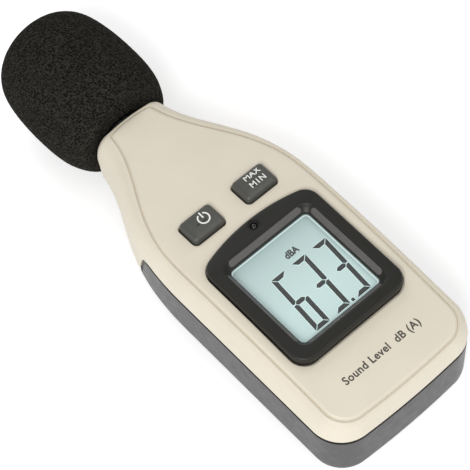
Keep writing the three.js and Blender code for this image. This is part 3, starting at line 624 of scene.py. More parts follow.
def back_rings(extra, floor, radius, steps):
    """Rings of the rounded back edge, from the flat back up to the wall."""
    rings = []
    for angle in np.linspace(0, math.pi / 2, steps):
        rise = floor + radius * (1 - math.cos(angle))
        rings.append(even_ring(extra + radius * (1 - math.sin(angle)), lambda y, r=rise: back_height(y) + r))
    return rings


# The groove round the front panel and the bevel beyond it: distance inwards and rise above the groove.
PANEL_EDGE = ((0.07, -0.14), (0.14, -0.38), (0.28, -0.46), (0.42, -0.38), (0.5, -0.06), (0.6, 0.08),
              (0.75, 0.24), (0.95, 0.38), (1.15, 0.47), (1.35, PANEL_RISE))


def outer_body(name, extra):
    """Closed solid of the whole case, with its sides moved inwards by extra."""
    rings = back_rings(extra + DRAFT, 0, BACK_ROUND, 9)
    rings += [upper_ring(degrees, extra, groove_height) for degrees in np.linspace(0, 90, 16)]
    for inset, rise in PANEL_EDGE:
        rings.append(body_ring(
            lambda y, i=inset: extra + groove_inset(y) + i,
            extra + GROOVE_INSET_BOTTOM + inset,
            extra + GROOVE_INSET_END + inset,
            lambda y, r=rise: groove_height(y) + r,
        ))
    return loft(name, rings)


def inner_cavity():
    """The hollow that the two covers share."""
    rings = back_rings(WALL, WALL, CAVITY_ROUND, 4)
    for degrees in (0, 30, 60, 90):
        rings.append(upper_ring(degrees, WALL, lambda y: groove_height(y) - FRONT_WALL))
    return loft("cavity", rings)


def behind_parting(distance):
    """Block that holds everything behind the parting line, with the line moved back by some distance."""
    points = np.asarray(PARTING_POINTS, float)
    before = np.vstack([points[:1], points[:-1]])
    after = np.vstack([points[1:], points[-1:]])
    run = after - before
    normal = np.column_stack([run[:, 1], -run[:, 0]]) / np.hypot(run[:, 0], run[:, 1])[:, None]
    edge = chaikin(points + distance * normal, 3)
    low = -60
    half_width = 40
    outline = np.vstack([edge, [(edge[-1, 0], low), (edge[0, 0], low)]])
    count = len(outline)
    vertices = [(x, y, z) for x in (-half_width, half_width) for y, z in outline]
    faces = [(i + count, (i + 1) % count + count, (i + 1) % count, i) for i in range(count)]
    faces.append(tuple(range(count)))
    faces.append(tuple(range(2 * count - 1, count - 1, -1)))
    return mesh_object("behind", vertices, faces)


def rounded_rectangle(x, y, half_x, half_y, corner, steps=10):
    """Outline centred on x and y, from its lower middle round to the left."""
    half = np.vstack([
        [(0, -half_y)],
        arc((half_x - corner, -half_y + corner), corner, -90, 0, steps),
        [(half_x, -half_y + corner)],
        arc((half_x - corner, half_y - corner), corner, 0, 90, steps),
        [(half_x - corner, half_y), (0, half_y)],
    ])
    return mirrored(half) + (x, y)


def window_outline(grow, corner):
    """Outline of the display window, grown by some distance."""
    x, y, half_x, half_y = WINDOW
    return rounded_rectangle(x, y, half_x + grow, half_y + grow, corner)


def bezel_outline(grow):
    """Outline of the display bezel: straight sides, an arched top, all grown by some distance."""
    half_x = BEZEL_HALF_X + grow
    bottom = BEZEL_BOTTOM - grow
    corner = BEZEL_CORNER + grow
    chord = half_x - corner + BEZEL_ARCH_REACH
    rise = BEZEL_CROWN - BEZEL_SHOULDER
    radius = (chord**2 + rise**2) / (2 * rise)
    arch_centre = (0, BEZEL_CROWN + grow - radius)
    arch_angle = math.degrees(math.asin(chord / radius))
    corner_y = BEZEL_SHOULDER + grow - corner + BEZEL_CORNER_LIFT
    half = np.vstack([
        line((0, bottom), (half_x - corner, bottom), 6),
        arc((half_x - corner, bottom + corner), corner, -90, 0, 14),
        line((half_x, bottom + corner), (half_x, corner_y), 10),
        arc((half_x - corner, corner_y), corner, 0, BEZEL_CORNER_SWEEP, 14),
        arc(arch_centre, radius, 90 - arch_angle, 90, 16),
        [(0, BEZEL_CROWN + grow)],
    ])
    return mirrored(half)


# A softly rounded upper edge of a hole in the front panel: growth and height below the panel.
HOLE_EDGE = ((0, -0.4), (0.03, -0.22), (0.09, -0.1), (0.2, -0.02), (0.36, 0.02), (0.8, 0.3), (1.2, 3.0))


def panel_hole(name, outline, floor):
    """Cutter for a hole in the front panel. outline(grow) gives its outline."""
    base = outline(0)
    rings = [level(base, floor)]
    for grow, rise in HOLE_EDGE:
        grown = outline(grow)
        rings.append(np.column_stack([grown, panel_height(grown[:, 1]) + rise]))
    return loft(name, rings)


# ---- covers

def neck_bore():
    """Cutter for the bore that holds the microphone's seal."""
    end = 60
    profile = [(0, NECK_BORE_START), (NECK_BORE, NECK_BORE_START), (NECK_BORE, end), (0, end)]
    return turned("neck_bore", profile)


def front_cover():
    """Beige half: a shell with screw bosses, the seat of the bezel and the holes of the buttons."""
    cover = outer_body("front_cover_shell", 0)
    boolean(cover, "DIFFERENCE", inner_cavity(), behind_parting(-GAP / 2))
    for x, y in CASE_SCREWS:
        ceiling = float(groove_height(y)) - FRONT_WALL
        boolean(cover, "UNION", post("boss", x, y, BOSS_RADIUS, PARTING_Z + GAP / 2, ceiling + 0.8))
        boolean(cover, "DIFFERENCE",
                post("pilot", x, y, CASE_SCREW_RADIUS + GAP, PARTING_Z - 1, ceiling - 0.6))
    boolean(cover, "DIFFERENCE",
            panel_hole("pocket", lambda grow: bezel_outline(GAP + grow), BEZEL_SEAT),
            prism("opening", window_outline(SKIRT_GROW + GAP, 2), INSIDE_Z, BEZEL_TOP),
            post("sensor_hole", 0, SENSOR_Y, SENSOR_HOLE, INSIDE_Z, BEZEL_TOP))
    for side in (-1, 1):
        def outline(grow, side=side):
            return rounded_rectangle(side * BUTTON_X, BUTTON_Y, BUTTON_HALF_X + GAP + grow,
                                     BUTTON_HALF_Y + GAP + grow, BUTTON_CORNER + GAP + grow)
        boolean(cover, "DIFFERENCE", panel_hole("button_hole", outline, INSIDE_Z))
    boolean(cover, "DIFFERENCE", neck_bore())
    return dress(smooth(cover), "root", "beige_plastic", "front_cover")


def door_block(name, grow):
    """Block that holds the door and its side lips, grown by some distance and open at the lower end."""
    half_x = DOOR_HALF_X + grow
    lip_x = DOOR_FLANGE_X + grow
    end = DOOR_END + grow
    top = DOOR_THICKNESS + grow
    body = block(name, -half_x, half_x, DOOR_CUT_START, end, -2, top)
    lips = block("lips", -lip_x, lip_x, DOOR_CUT_START, end, DOOR_LIP - grow, top - HAIR)
    return boolean(body, "UNION", lips)


def rear_cover():
    """Dark half: a shell with the battery bay let into it, and a shadow step under the front cover."""
    cover = boolean(outer_body("rear_cover_shell", REVEAL_DEPTH), "INTERSECT", behind_parting(GAP / 2))
    band = boolean(outer_body("band", 0), "INTERSECT", behind_parting(REVEAL_HEIGHT))
    boolean(cover, "UNION", band)
    boolean(cover, "DIFFERENCE", inner_cavity())
    outside = BAY_HALF_X + BAY_WALL
    tray = block("tray", -outside, outside, BAY_LOW - BAY_WALL, BAY_HIGH + BAY_WALL, BAY_FLOOR,
                 BAY_ROOF + BAY_WALL)
    boolean(tray, "INTERSECT", outer_body("limit", SKIN))
    boolean(cover, "UNION", tray)
    for x, y in CASE_SCREWS:
        boss = post("boss", x, y, BOSS_RADIUS, BAY_FLOOR, PARTING_Z - GAP / 2)
        boolean(boss, "INTERSECT", outer_body("limit", SKIN))
        boolean(cover, "UNION", boss)
    bay = block("bay", -BAY_HALF_X, BAY_HALF_X, BAY_LOW, BAY_HIGH, BAY_FLOOR, BAY_ROOF)
    boolean(cover, "DIFFERENCE", bay, door_block("door_slot", GAP))
    half_x, half_y = LEAD_SLOT
    for x, y in ((-CELL_PITCH, BAY_HIGH - LEAD_SLOT_INSET), (CELL_PITCH, BAY_LOW + LEAD_SLOT_INSET)):
        slot = block("slot", x - half_x, x + half_x, y - half_y, y + half_y, BAY_ROOF - 1, BAY_ROOF + 3)
        boolean(cover, "DIFFERENCE", slot)
    shank = CASE_SCREW_RADIUS + GAP
    recess = ((HEAD_RECESS, -1), (HEAD_RECESS, HEAD_SEAT), (shank, HEAD_SEAT), (shank, PARTING_Z + 1))
    for x, y in CASE_SCREWS:
        rings = [level(circle(x, y, radius, 36), z) for radius, z in recess]
        boolean(cover, "DIFFERENCE", loft("recess", rings), solver="EXACT")
    boolean(cover, "DIFFERENCE", neck_bore())
    return dress(smooth(cover), "root", "dark_plastic", "rear_cover")


def battery_door():
    """Sliding door with a ribbed thumb patch."""
    door = boolean(outer_body("battery_door_panel", 0), "INTERSECT", door_block("door_limit", 0))
    for k in range(RIBS):
        y = RIB_START + RIB_PITCH * k
        rib = block("rib", -RIB_HALF_LENGTH, RIB_HALF_LENGTH, y, y + RIB_PITCH / 2, -1, RIB_DEPTH)
        boolean(door, "DIFFERENCE", rib)
    return dress(smooth(door), "door", "dark_plastic", "battery_door")


# ---- display

SLOPE_FOOT = (0.15, 29.1)  # growth of the window's outline, and height, at the foot of the slopes
SLOPE_HEAD = (1.65, BEZEL_TOP)
PATCH_MARGIN = 0.22  # from a textured inlay to the edges of its slope
PATCH_TRIM = 1.1
PATCH_STEP = 0.12
PATCH_SINK = 0.05
PATCH_RISE = 0.03
PEBBLE_RISE = 0.07
PEBBLE_SIZE = 0.34
PEBBLE_SEED = 7


def display_bezel():
    """Dark frame: rounded outer edge, a window with sloping sides, and a countersunk sensor hole."""
    top = BEZEL_TOP
    outer_edge = ((0, BEZEL_SEAT + GAP), (0, top - 0.75), (-0.06, top - 0.42), (-0.22, top - 0.18),
                  (-0.45, top - 0.04), (-0.75, top))
    bezel = loft("display_bezel_frame", [level(bezel_outline(grow), z) for grow, z in outer_edge])
    skirt = window_outline(SKIRT_GROW, SKIRT_CORNER)
    boolean(bezel, "UNION", prism("skirt", skirt, LENS_TOP - SKIRT_DEPTH, BEZEL_SEAT + 1))
    foot_z = SLOPE_FOOT[1]
    head, head_z = SLOPE_HEAD
    funnel = [(0, INSIDE_Z), (0, foot_z - 0.12), (0.05, foot_z - 0.03), SLOPE_FOOT,
              (head - 0.25, head_z - 0.33), (head - 0.08, head_z - 0.14), (head + 0.12, head_z - 0.035),
              (head + 0.4, head_z + 0.01), (head + 1, head_z + 0.5)]
    boolean(bezel, "DIFFERENCE",
            loft("funnel", [level(window_outline(grow, WINDOW_CORNER + grow), z) for grow, z in funnel]),
            prism("lens_seat", window_outline(LENS_RIM, 0.2 + LENS_RIM), INSIDE_Z, LENS_TOP + GAP))
    countersink = ((1.1, INSIDE_Z), (1.1, top - 0.5), (1.25, top - 0.45), (1.5, top - 0.42),
                   (1.55, top - 0.1), (1.65, top + 0.01), (1.9, top + 0.5))
    rings = [level(circle(0, SENSOR_Y, radius, 48), z) for radius, z in countersink]
    boolean(bezel, "DIFFERENCE", loft("sensor_hole", rings))
    return dress(smooth(bezel), "root", "bezel_plastic", "display_bezel")


def pebble(points, size, seed):
    """Worley noise at the points, in millimetres: 0 in the middle of a cell, near 1 at its edges."""
    rng = np.random.default_rng(seed)
    cells = np.floor(points / size).astype(int)
    low = cells.min(0) - 1
    shape = cells.max(0) - low + 2
    seeds = rng.random((*shape, 3))
    nearest = np.full(len(points), 9.0)
    second = np.full(len(points), 9.0)
    for offset in np.ndindex(3, 3, 3):
        cell = cells + np.array(offset) - 1
        index = cell - low
        centre = cell + seeds[index[:, 0], index[:, 1], index[:, 2]]
        distance = np.linalg.norm(points / size - centre, axis=1)
        second = np.minimum(second, np.maximum(nearest, distance))
        nearest = np.minimum(nearest, distance)
    return nearest / np.maximum(second, 1e-6)


def slope_patch(name, centre, along, half_length, side):
    """Textured inlay on one slope of the window: a thin pebbled strip with rounded ends, lighter grey than
    the bezel partly for its matte texture and partly as painted light on slopes that face the lamps.
    """
    foot_grow, foot_z = SLOPE_FOOT
    head_grow, head_z = SLOPE_HEAD
    foot = np.array([*centre, foot_z]) + np.array([*side, 0]) * foot_grow
    head = np.array([*centre, head_z]) + np.array([*side, 0]) * head_grow
    slope = head - foot
    length = np.linalg.norm(slope)
    up = slope / length
    along = np.array([*along, 0.0])
    normal = np.cross(along, up)
    normal *= np.sign(normal[2])
    half_width = length / 2 - PATCH_MARGIN
    columns = int(2 * half_length / PATCH_STEP) + 1
    lines = int(2 * half_width / PATCH_STEP) + 2
    middle = (foot + head) / 2
    vertices = []
    for s in np.linspace(-half_length, half_length, columns):
        end = max(abs(s) - (half_length - half_width), 0) / half_width
        reach = half_width * math.sqrt(max(1 - end * end, 0.02))
        for w in np.linspace(-reach, reach, lines):
            vertices.append(middle + along * s + up * w)
    vertices = np.array(vertices)
    proud = PATCH_RISE + PEBBLE_RISE * (1 - pebble(vertices, PEBBLE_SIZE, PEBBLE_SEED))
    top = vertices + normal * proud[:, None]
    bottom = vertices - normal * PATCH_SINK
    count = len(vertices)
    faces = []
    for i in range(columns - 1):
        for j in range(lines - 1):
            a = i * lines + j
            quad = (a, a + lines, a + lines + 1, a + 1)
            faces.append(quad)
            faces.append(tuple(count + q for q in reversed(quad)))
    rim = list(range(lines))
    rim += [i * lines + lines - 1 for i in range(1, columns)]
    rim += [(columns - 1) * lines + j for j in range(lines - 2, -1, -1)]
    rim += [i * lines for i in range(columns - 2, 0, -1)]
    for a, b in zip(rim, rim[1:] + rim[:1]):
        faces.append((a, b, b + count, a + count))
    patch = mesh_object(name, np.vstack([top, bottom]), faces)
    patch.data.shade_smooth()
    return dress(patch, "root", "bezel_plastic", material=LIT_SLOPE_TEXTURE)


def slope_patches():
    x, y, half_x, half_y = WINDOW
    for name, sign in (("top", 1), ("bottom", -1)):
        slope_patch(f"lit_slope_texture_{name}", (x, y + sign * half_y), (1, 0), half_x - PATCH_TRIM, (0, sign))
    for name, sign in (("right", 1), ("left", -1)):
        slope_patch(f"lit_slope_texture_{name}", (x + sign * half_x, y), (0, 1), half_y - PATCH_TRIM, (sign, 0))


DIGIT_WIDTH = 4.65
DIGIT_HEIGHT = 18.3
DIGIT_PITCH = 6.95
DIGIT_STROKE = 1.3
DIGIT_SLANT = 0.068  # x gained for each millimetre of y
DIGIT_FOOT = (-7.65, -27.95)  # lower left corner of the first digit's box
SEGMENT_GAP = 0.13
SEGMENT_BLUNT = 0.1
DOT_HALF = 0.45
DOT_INSET = 1.15  # from the third digit back to the middle of the decimal point
HALO = 0.13
UNIT_PLACE = (0.9, -7.9)
SEGMENTS = {"6": "afgecd", "3": "abgcd"}
READING = ("6", "3", "3")


def segment_outlines(grow):
    """Outlines of the seven segments in one upright digit box, grown by some distance."""
    width, height, stroke = DIGIT_WIDTH, DIGIT_HEIGHT, DIGIT_STROKE
    centre = height / 2
    cut = stroke / 2
    gap = SEGMENT_GAP - grow
    top = [(gap, height + grow), (width - gap, height + grow),
           (width - stroke - gap, height - stroke - grow), (stroke + gap, height - stroke - grow)]
    middle = [(cut + gap, centre), (stroke + gap, centre + cut + grow),
              (width - stroke - gap, centre + cut + grow), (width - cut - gap, centre),
              (width - stroke - gap, centre - cut - grow), (stroke + gap, centre - cut - grow)]
    upper = [(-grow, height - gap), (-grow, centre + gap + SEGMENT_BLUNT), (cut, centre + gap),
             (stroke + grow, centre + cut + gap), (stroke + grow, height - stroke - gap)]
    return {
        "a": top,
        "g": middle,
        "d": [(x, height - y) for x, y in top],
        "f": upper,
        "b": [(width - x, y) for x, y in upper],
        "e": [(x, height - y) for x, y in upper],
        "c": [(width - x, height - y) for x, y in upper],
    }


def flat_pieces(name, outlines, z0, z1):
    """One mesh of several thin plates, each from its outline in X and Y."""
    vertices, faces = [], []
    for outline in outlines:
        start = len(vertices)
        count = len(outline)
        area = sum(a[0] * b[1] - b[0] * a[1] for a, b in zip(outline, outline[1:] + outline[:1]))
        ordered = outline if area > 0 else outline[::-1]
        vertices += [(x, y, z0) for x, y in ordered]
        vertices += [(x, y, z1) for x, y in ordered]
        faces.append(tuple(range(start + count - 1, start - 1, -1)))
        faces.append(tuple(range(start + count, start + 2 * count)))
        for i in range(count):
            a = start + i
            b = start + (i + 1) % count
            faces.append((a, b, b + count, a + count))
    return mesh_object(name, vertices, faces)


def digits(name, grow, z0, z1, material):
    """The whole reading with its decimal point, as thin plates."""
    outlines = []
    for k, figure in enumerate(READING):
        left = DIGIT_FOOT[0] + k * DIGIT_PITCH
        for letter, outline in segment_outlines(grow).items():
            if letter in SEGMENTS[figure]:
                outlines.append([(left + x + DIGIT_SLANT * y, DIGIT_FOOT[1] + y) for x, y in outline])
    dot_x = DIGIT_FOOT[0] + 2 * DIGIT_PITCH - DOT_INSET
    dot_y = DIGIT_FOOT[1] + DOT_HALF
    half = DOT_HALF + grow
    outlines.append([(dot_x - half, dot_y - half), (dot_x + half, dot_y - half),
                     (dot_x + half, dot_y + half), (dot_x - half, dot_y + half)])
    return dress(flat_pieces(name, outlines, z0, z1), "root", "display_glass", material=material)


def text_mesh(name, words, height, place, surface, spacing=1.0, squeeze=1.0, slant=0.0, weight=0.0):
    """Thin printed lettering laid on a surface. height is the capitals' height, place the left end of the
    baseline, and surface(y) the height of what it is printed on."""
    curve = bpy.data.curves.new(name, "FONT")
    curve.body = words
    curve.space_character = spacing
    curve.offset = weight
    curve.shear = slant
    curve.resolution_u = 4
    curve.extrude = 0.5
    lettering = add_object(name, curve)
    graph = bpy.context.evaluated_depsgraph_get()
    mesh = bpy.data.meshes.new_from_object(lettering.evaluated_get(graph))
    bpy.data.objects.remove(lettering)
    points = np.array([v.co for v in mesh.vertices])
    scale = height / CAPITAL_HEIGHT
    x = place[0] + (points[:, 0] - points[:, 0].min()) * scale * squeeze
    y = place[1] + points[:, 1] * scale
    z = surface(y) + INK_THICKNESS * points[:, 2]
    mesh.vertices.foreach_set("co", (np.column_stack([x, y, z]) * MM).astype(np.float32).ravel())
    mesh.update()
    return add_object(name, mesh)


def display_parts():
    """The reading with a pale halo, its unit, and a painted highlight: a pale glowing line round the edge of
    the display that stands for light caught by the lens's edge.
    """
    face = GLASS_TOP
    digits("display_halo", HALO, face + 0.01, face + 0.03, HALO_AND_HIGHLIGHT_INK)
    digits("display_digits", 0, face + 0.02, face + 0.06, SEGMENT_INK)
    unit = text_mesh("display_unit", "dBA", 2.0, UNIT_PLACE, lambda y: face + 0.03, squeeze=0.86,
                     slant=0.05, weight=0.035)
    dress(unit, "root", "display_glass", material=SEGMENT_INK)
    # painted highlight: a thin glowing line laid on the lens round the window
    outer = window_outline(-0.12, 1.4)
    inner = window_outline(-0.42, 1.1)
    count = len(outer)
    low = LENS_TOP + 0.01
    high = LENS_TOP + 0.04
    rings = [level(outer, low), level(inner, low), level(inner, high), level(outer, high)]
    faces = []
    for r in range(4):
        for i in range(count):
            j = (i + 1) % count
            after = (r + 1) % 4
            faces.append((r * count + i, after * count + i, after * count + j, r * count + j))
    highlight_line = mesh_object("display_painted_highlight", np.vstack(rings), faces)
    dress(highlight_line, "root", "clear_plastic", material=HALO_AND_HIGHLIGHT_INK)


def sensor_window():
    """Smoked dome of the small light sensor in the bezel."""
    top = BEZEL_TOP
    profile = [(0, 21.5), (0.85, 21.5), (0.85, top - 0.75), (0.8, top - 0.55), (0.65, top - 0.38),
               (0.42, top - 0.27), (0.2, top - 0.22), (0, top - 0.21)]
    dome = turned("sensor_dome", profile, 0, 0, 48)
    dome.data.transform(Matrix.Rotation(math.pi / 2, 4, "X"))
    dome.data.transform(Matrix.Translation((0, SENSOR_Y * MM, 0)))
    dress(smooth(dome), "root", "clear_plastic", "sensor_light_pipe", material=SMOKED)


# ---- buttons

def button_cap(name, x, body, node):
    """Push button: straight sides, a rounded shoulder, a fine ridge and a slightly dished top."""
    def outline(inset):
        return rounded_rectangle(x, BUTTON_Y, BUTTON_HALF_X - inset, BUTTON_HALF_Y - inset,
                                 max(BUTTON_CORNER - inset * 0.6, 0.3))
    top = BUTTON_TOP
    profile = [(0.05, FLANGE_TOP - 0.4), (0.05, top - 1.0), (0.12, top - 0.62), (0.28, top - 0.34),
               (0.5, top - 0.16), (0.72, top - 0.06), (0.8, top), (0.87, top), (0.95, top - 0.07),
               (1.3, top - 0.1), (2.0, top - 0.14), (2.9, top - 0.17), (3.4, top - 0.18)]
    cap = loft(name, [level(outline(inset), z) for inset, z in profile])
    flange = rounded_rectangle(x, BUTTON_Y, FLANGE_HALF_X, FLANGE_HALF_Y, BUTTON_CORNER)
    boolean(cap, "UNION",
            prism("flange", flange, FLANGE_BOTTOM, FLANGE_TOP),
            post("stem", x, BUTTON_Y, STEM_RADIUS, STEM_BOTTOM, FLANGE_BOTTOM + 0.5))
    return dress(smooth(cap, 50), body, "button_plastic", node)


def power_symbol(x, y, z):
    """Ring open at the top, with a bar through the opening."""
    outer, inner = 1.75, 1.35
    opening = 27                      # degrees to either side of the top
    bar_half, bar_low, bar_high = 0.2, 0.1, 2.25
    turn = np.linspace(90 + opening, 450 - opening, 40)
    ring = []
    for radius, angles in ((outer, turn), (inner, turn[::-1])):
        for angle in np.radians(angles):
            ring.append((x + radius * math.cos(angle), y + radius * math.sin(angle)))
    bar = [(x - bar_half, y + bar_low), (x + bar_half, y + bar_low),
           (x + bar_half, y + bar_high), (x - bar_half, y + bar_high)]
    symbol = flat_pieces("power_symbol", [ring, bar], z, z + 0.04)
    dress(symbol, "power_key", "button_plastic", material=WHITE_INK)


def buttons():
    """Both keys with their white legends."""
    button_cap("power_button_cap", -BUTTON_X, "power_key", "power_button")
    button_cap("maxmin_button_cap", BUTTON_X, "maxmin_key", "maxmin_button")
    legend_z = BUTTON_TOP - 0.11
    power_symbol(*POWER_PLACE, legend_z)
    for name, words, y, spacing in (("legend_max", "MAX", 14.75, 1.0), ("legend_min", "MIN", 12.15, 1.3)):
        legend = text_mesh(name, words, LEGEND_HEIGHT, (LEGEND_X, y), lambda y: legend_z + 0.02,
                           spacing=spacing, squeeze=1.03, weight=0.012)
        dress(legend, "maxmin_key", "button_plastic", material=WHITE_INK)


def front_text():
    """Printed line below the display."""
    lettering = text_mesh("front_text", "Sound Level  dB (A)", 2.2, (-12.6, -44.1),
                          lambda y: panel_height(y) + 0.015, spacing=1.08, squeeze=0.95, weight=0.022)
    dress(lettering, "root", "beige_plastic", material=BROWN_INK)


# ---- windscreen and microphone

def foam_profile():
    """Outer line of the windscreen from its base to its tip, as (radius, y), rounded smooth."""
    corners = ((8.5, FOAM_START), (12.9, FOAM_START), (14.2, 57.1), (15.5, 59.2), (16.6, 61.8), (17.3, 64.8),
               (17.7, 69), (17.8, 73), (17.75, 77), (17.5, 81), (17, 85), (16.2, 88.6), (14.9, 91.4),
               (12.9, 93.8), (10, 95.7), (6, 96.8), (2.5, 97.05), (0.3, 97.1))
    return chaikin(corners, 3)


def foam_windscreen():
    """Open-cell foam sleeve: a turned body with a bore, its skin pitted with small pores."""
    outline = foam_profile()
    lengths = np.r_[0, np.cumsum(np.hypot(*np.diff(outline, axis=0).T))]
    stops = np.arange(0, lengths[-1], FOAM_STEP)
    radius = np.interp(stops, lengths, outline[:, 0])
    along = np.interp(stops, lengths, outline[:, 1])
    sides = FOAM_SIDES
    angles = np.linspace(0, 2 * math.pi, sides, endpoint=False)
    ring = np.column_stack([np.cos(angles), np.zeros(sides), np.sin(angles)])
    skin = np.vstack([ring * r + (0, y, MIC_Z) for r, y in zip(radius, along)])
    outward = skin - (0, FOAM_CENTRE, MIC_Z)
    outward /= np.linalg.norm(outward, axis=1)[:, None]
    coarse = pebble(skin, COARSE_PORE, 3)
    fine = pebble(skin + 40.0, FINE_PORE, 5)
    strand = np.clip(COARSE_SHARE * coarse + (1 - COARSE_SHARE) * fine, 0, 1)
    skin = skin - outward * (PORE_DEPTH * (1 - strand))[:, None]
    bore = MIC_RADIUS + GAP
    bore_end = MIC_TIP + GAP
    inside = np.vstack([ring * bore + (0, y, MIC_Z) for y in (FOAM_START + 0.3, bore_end)])
    vertices = np.vstack([skin, inside, [(0, bore_end, MIC_Z), (0, FOAM_TIP, MIC_Z)]])
    rows = len(stops)
    bore_low = rows * sides
    bore_high = bore_low + sides
    floor = bore_high + sides
    tip = floor + 1
    faces = []
    for k in range(sides):
        after = (k + 1) % sides
        for r in range(rows - 1):
            a = r * sides + k
            b = r * sides + after
            faces.append((a, a + sides, b + sides, b))
        faces.append(((rows - 1) * sides + k, tip, (rows - 1) * sides + after))
        faces.append((bore_low + k, k, after, bore_low + after))
        faces.append((bore_high + k, bore_low + k, bore_low + after, bore_high + after))
        faces.append((floor, bore_high + k, bore_high + after))
    foam = mesh_object("foam_windscreen_skin", vertices, faces)
    # the strand weights also set the painted shade of the pores
    values = np.r_[strand, np.full(len(vertices) - len(strand), 0.5)].astype(np.float32)
    foam.data.attributes.new("strand", "FLOAT", "POINT").data.foreach_set("value", values)
    foam.data.shade_smooth()
    dress(foam, "windscreen", "foam", "foam_windscreen")


def microphone():
    """Turned barrel with fine grip rings, the pierced cap over the capsule, and the seal in the neck."""
    radius = MIC_RADIUS
    barrel = [(BARREL_BORE, BARREL_START), (radius, BARREL_START)]
    for y in np.arange(57.5, 62.5, 0.8):
        barrel += [(radius, y), (radius - 0.15, y + 0.1), (radius - 0.15, y + 0.3), (radius, y + 0.4)]
    barrel += [(radius, BARREL_END - 0.3), (radius - 0.25, BARREL_END), (BARREL_BORE, BARREL_END)]
    tube = turned("microphone_tube", barrel[::-1])
    dress(smooth(tube), "root", "microphone_metal", "microphone_barrel")
    tip = MIC_TIP
    start = BARREL_END + GAP
    cup = [(CAP_BORE, start), (radius, start), (radius, tip - 0.8), (radius - 0.1, tip - 0.4),
           (radius - 0.4, tip - 0.1), (radius - 0.8, tip), (0, tip), (0, tip - 0.9), (CAP_BORE, tip - 0.9)]
    grille = turned("microphone_cap", cup[::-1])
    hole = [(0, tip + 1), (CAP_HOLE, tip + 1), (CAP_HOLE, tip - 2), (0, tip - 2)]
    for count, reach in CAP_HOLE_RINGS:
        for k in range(count):
            angle = 2 * math.pi * k / count
            boolean(grille, "DIFFERENCE",
                    turned("hole", hole, reach * math.cos(angle), MIC_Z + reach * math.sin(angle), 20))
    dress(smooth(grille), "root", "microphone_metal", "microphone_grille")
    inner = radius + GAP
    outer = NECK_BORE - GAP
    ring = [(inner, 49.5), (outer, 49.5), (outer, 55.4), (outer - 0.15, 55.7), (outer - 0.4, 55.8),
            (inner, 55.8)]
    bushing = turned("neck_seal", ring[::-1])
    dress(smooth(bushing), "root", "bushing_rubber", "neck_bushing")


# ---- battery bay and screws

def batteries():
    """Three cells: jacket, bare steel ends and button. The middle one points the other way."""
    contact = PLATE_THICKNESS + GAP + SPRING_ROOM
    shoulder = CELL_LENGTH - 1.4
    profile = [(0, 0), (4.4, 0), (4.6, 0.1), (4.75, 0.35), (5.15, 0.45), (CELL_RADIUS, 0.7),
               (CELL_RADIUS, CELL_LENGTH - 2.3), (5.1, CELL_LENGTH - 2.05), (4.7, CELL_LENGTH - 1.95),
               (4.6, CELL_LENGTH - 1.5), (4.3, shoulder), (1.9, shoulder),
               (1.9, CELL_LENGTH - 0.3), (1.7, CELL_LENGTH), (0, CELL_LENGTH)]
    for number in (1, 2, 3):
        up = number != 2
        x = (number - 2) * CELL_PITCH
        start = BAY_LOW + contact if up else BAY_HIGH - contact
        sign = 1 if up else -1
        placed = [(radius, start + sign * y) for radius, y in profile]
        cell = turned(f"battery_cell_{number}", placed[::-1] if up else placed, x, CELL_Z, 64)
        dress(smooth(cell), "root", "cell_jacket", f"battery_{number}")
        cell.data.materials.append(LOOKS["steel"])
        cell.data.materials.append(BRASS)
        for polygon in cell.data.polygons:
            along = sign * (polygon.center.y / MM - start)
            reach = math.hypot(polygon.center.x / MM - x, polygon.center.z / MM - CELL_Z)
            if along < 0.45 or along > CELL_LENGTH - 1.9 or reach < 4.3:
                polygon.material_index = 1
            if CELL_LENGTH - CELL_BAND < along < CELL_LENGTH - 2.2:
                polygon.material_index = 2


def case_screws():
    """Pan-head screws with cross recesses, heads down in the back."""
    shank = CASE_SCREW_RADIUS
    head = [(0.02, 1.6), (1.2, 1.62), (1.6, 1.72), (1.8, 1.95), (1.85, 2.2), (1.85, 3.2), (shank, 3.2),
            (shank, 22.4), (0.2, 23.4), (0.02, 23.4)]
    arm, slot = 1.05, 0.26
    for number, (x, y) in enumerate(CASE_SCREWS, 1):
        rings = [level(circle(x, y, radius, 40), z) for radius, z in head]
        screw = loft(f"case_screw_head_{number}", rings)
        boolean(screw, "DIFFERENCE",
                block("slot", x - arm, x + arm, y - slot, y + slot, 0.5, 2.6),
                block("slot", x - slot, x + slot, y - arm, y + arm, 0.5, 2.6 + HAIR))
        dress(smooth(screw), "root", "steel", f"case_screw_{number}")


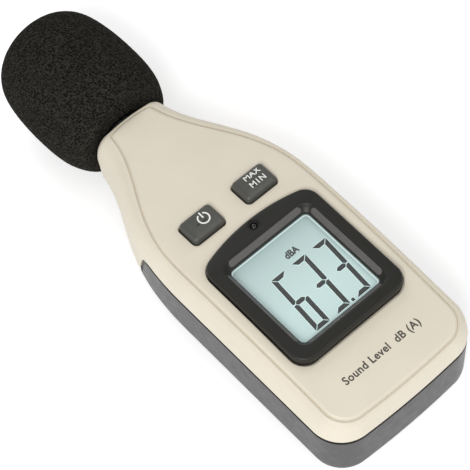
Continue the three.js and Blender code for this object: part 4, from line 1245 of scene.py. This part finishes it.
def cad_nodes():
    """The CAD nodes that still show take the procedural material of their slot."""
    for entry in frame["record"]["subparts"]:
        node = frame["nodes"][entry["node"]]
        if not node.hide_render:
            node.data.materials.clear()
            node.data.materials.append(LOOKS[entry["material_slot"]])


# ---- studio

def look_at(thing, target):
    """Turns the thing to face the target."""
    direction = np.asarray(target, float) * MM - np.asarray(thing.location)
    thing.rotation_euler = Vector(direction).to_track_quat("-Z", "Y").to_euler()


def area_light(name, place, target, size, power):
    """Round lamp, with its size and place in millimetres and its power in watts."""
    data = bpy.data.lights.new(name, "AREA")
    data.shape = "DISK"
    data.size = size * MM
    data.energy = power
    lamp = add_object(name, data)
    lamp.location = [value * MM for value in place]
    look_at(lamp, target)


def studio():
    """White surroundings, three soft lamps and a white floor."""
    scene = bpy.context.scene
    scene.view_settings.view_transform = "Standard"
    world = bpy.data.worlds.new("studio")
    world.use_nodes = True
    world.node_tree.nodes["Background"].inputs["Color"].default_value = (1, 1, 1, 1)
    world.node_tree.nodes["Background"].inputs["Strength"].default_value = WORLD_STRENGTH
    scene.world = world
    for lamp in LAMPS:
        area_light(*lamp)
    floor = block("floor", -FLOOR_HALF, FLOOR_HALF, -FLOOR_HALF, FLOOR_HALF, FLOOR_Z - 20, FLOOR_Z)
    shader = Shader("floor", (0.95, 0.95, 0.95), 0.7, Emission_Strength=0.3, Emission_Color=(1, 1, 1, 1))
    shader.colour(shader.ramp(shader.noise(400), (0.945, 0.945, 0.945), (0.955, 0.955, 0.955)))
    floor.data.materials.append(shader.material)


def camera():
    """The view of the meter lying down, seen from above its lower left."""
    data = bpy.data.cameras.new("camera")
    data.lens = CAMERA_LENS
    data.sensor_width = 36
    data.clip_start = 0.01
    data.clip_end = 20
    view = add_object("camera", data)
    view.location = [value * MM for value in CAMERA_PLACE]
    view.rotation_euler = [math.radians(angle) for angle in CAMERA_TURN]
    bpy.context.scene.camera = view


camera()
studio()
front_cover()
rear_cover()
battery_door()
display_bezel()
slope_patches()
display_parts()
sensor_window()
buttons()
front_text()
foam_windscreen()
microphone()
batteries()
case_screws()
cad_nodes()
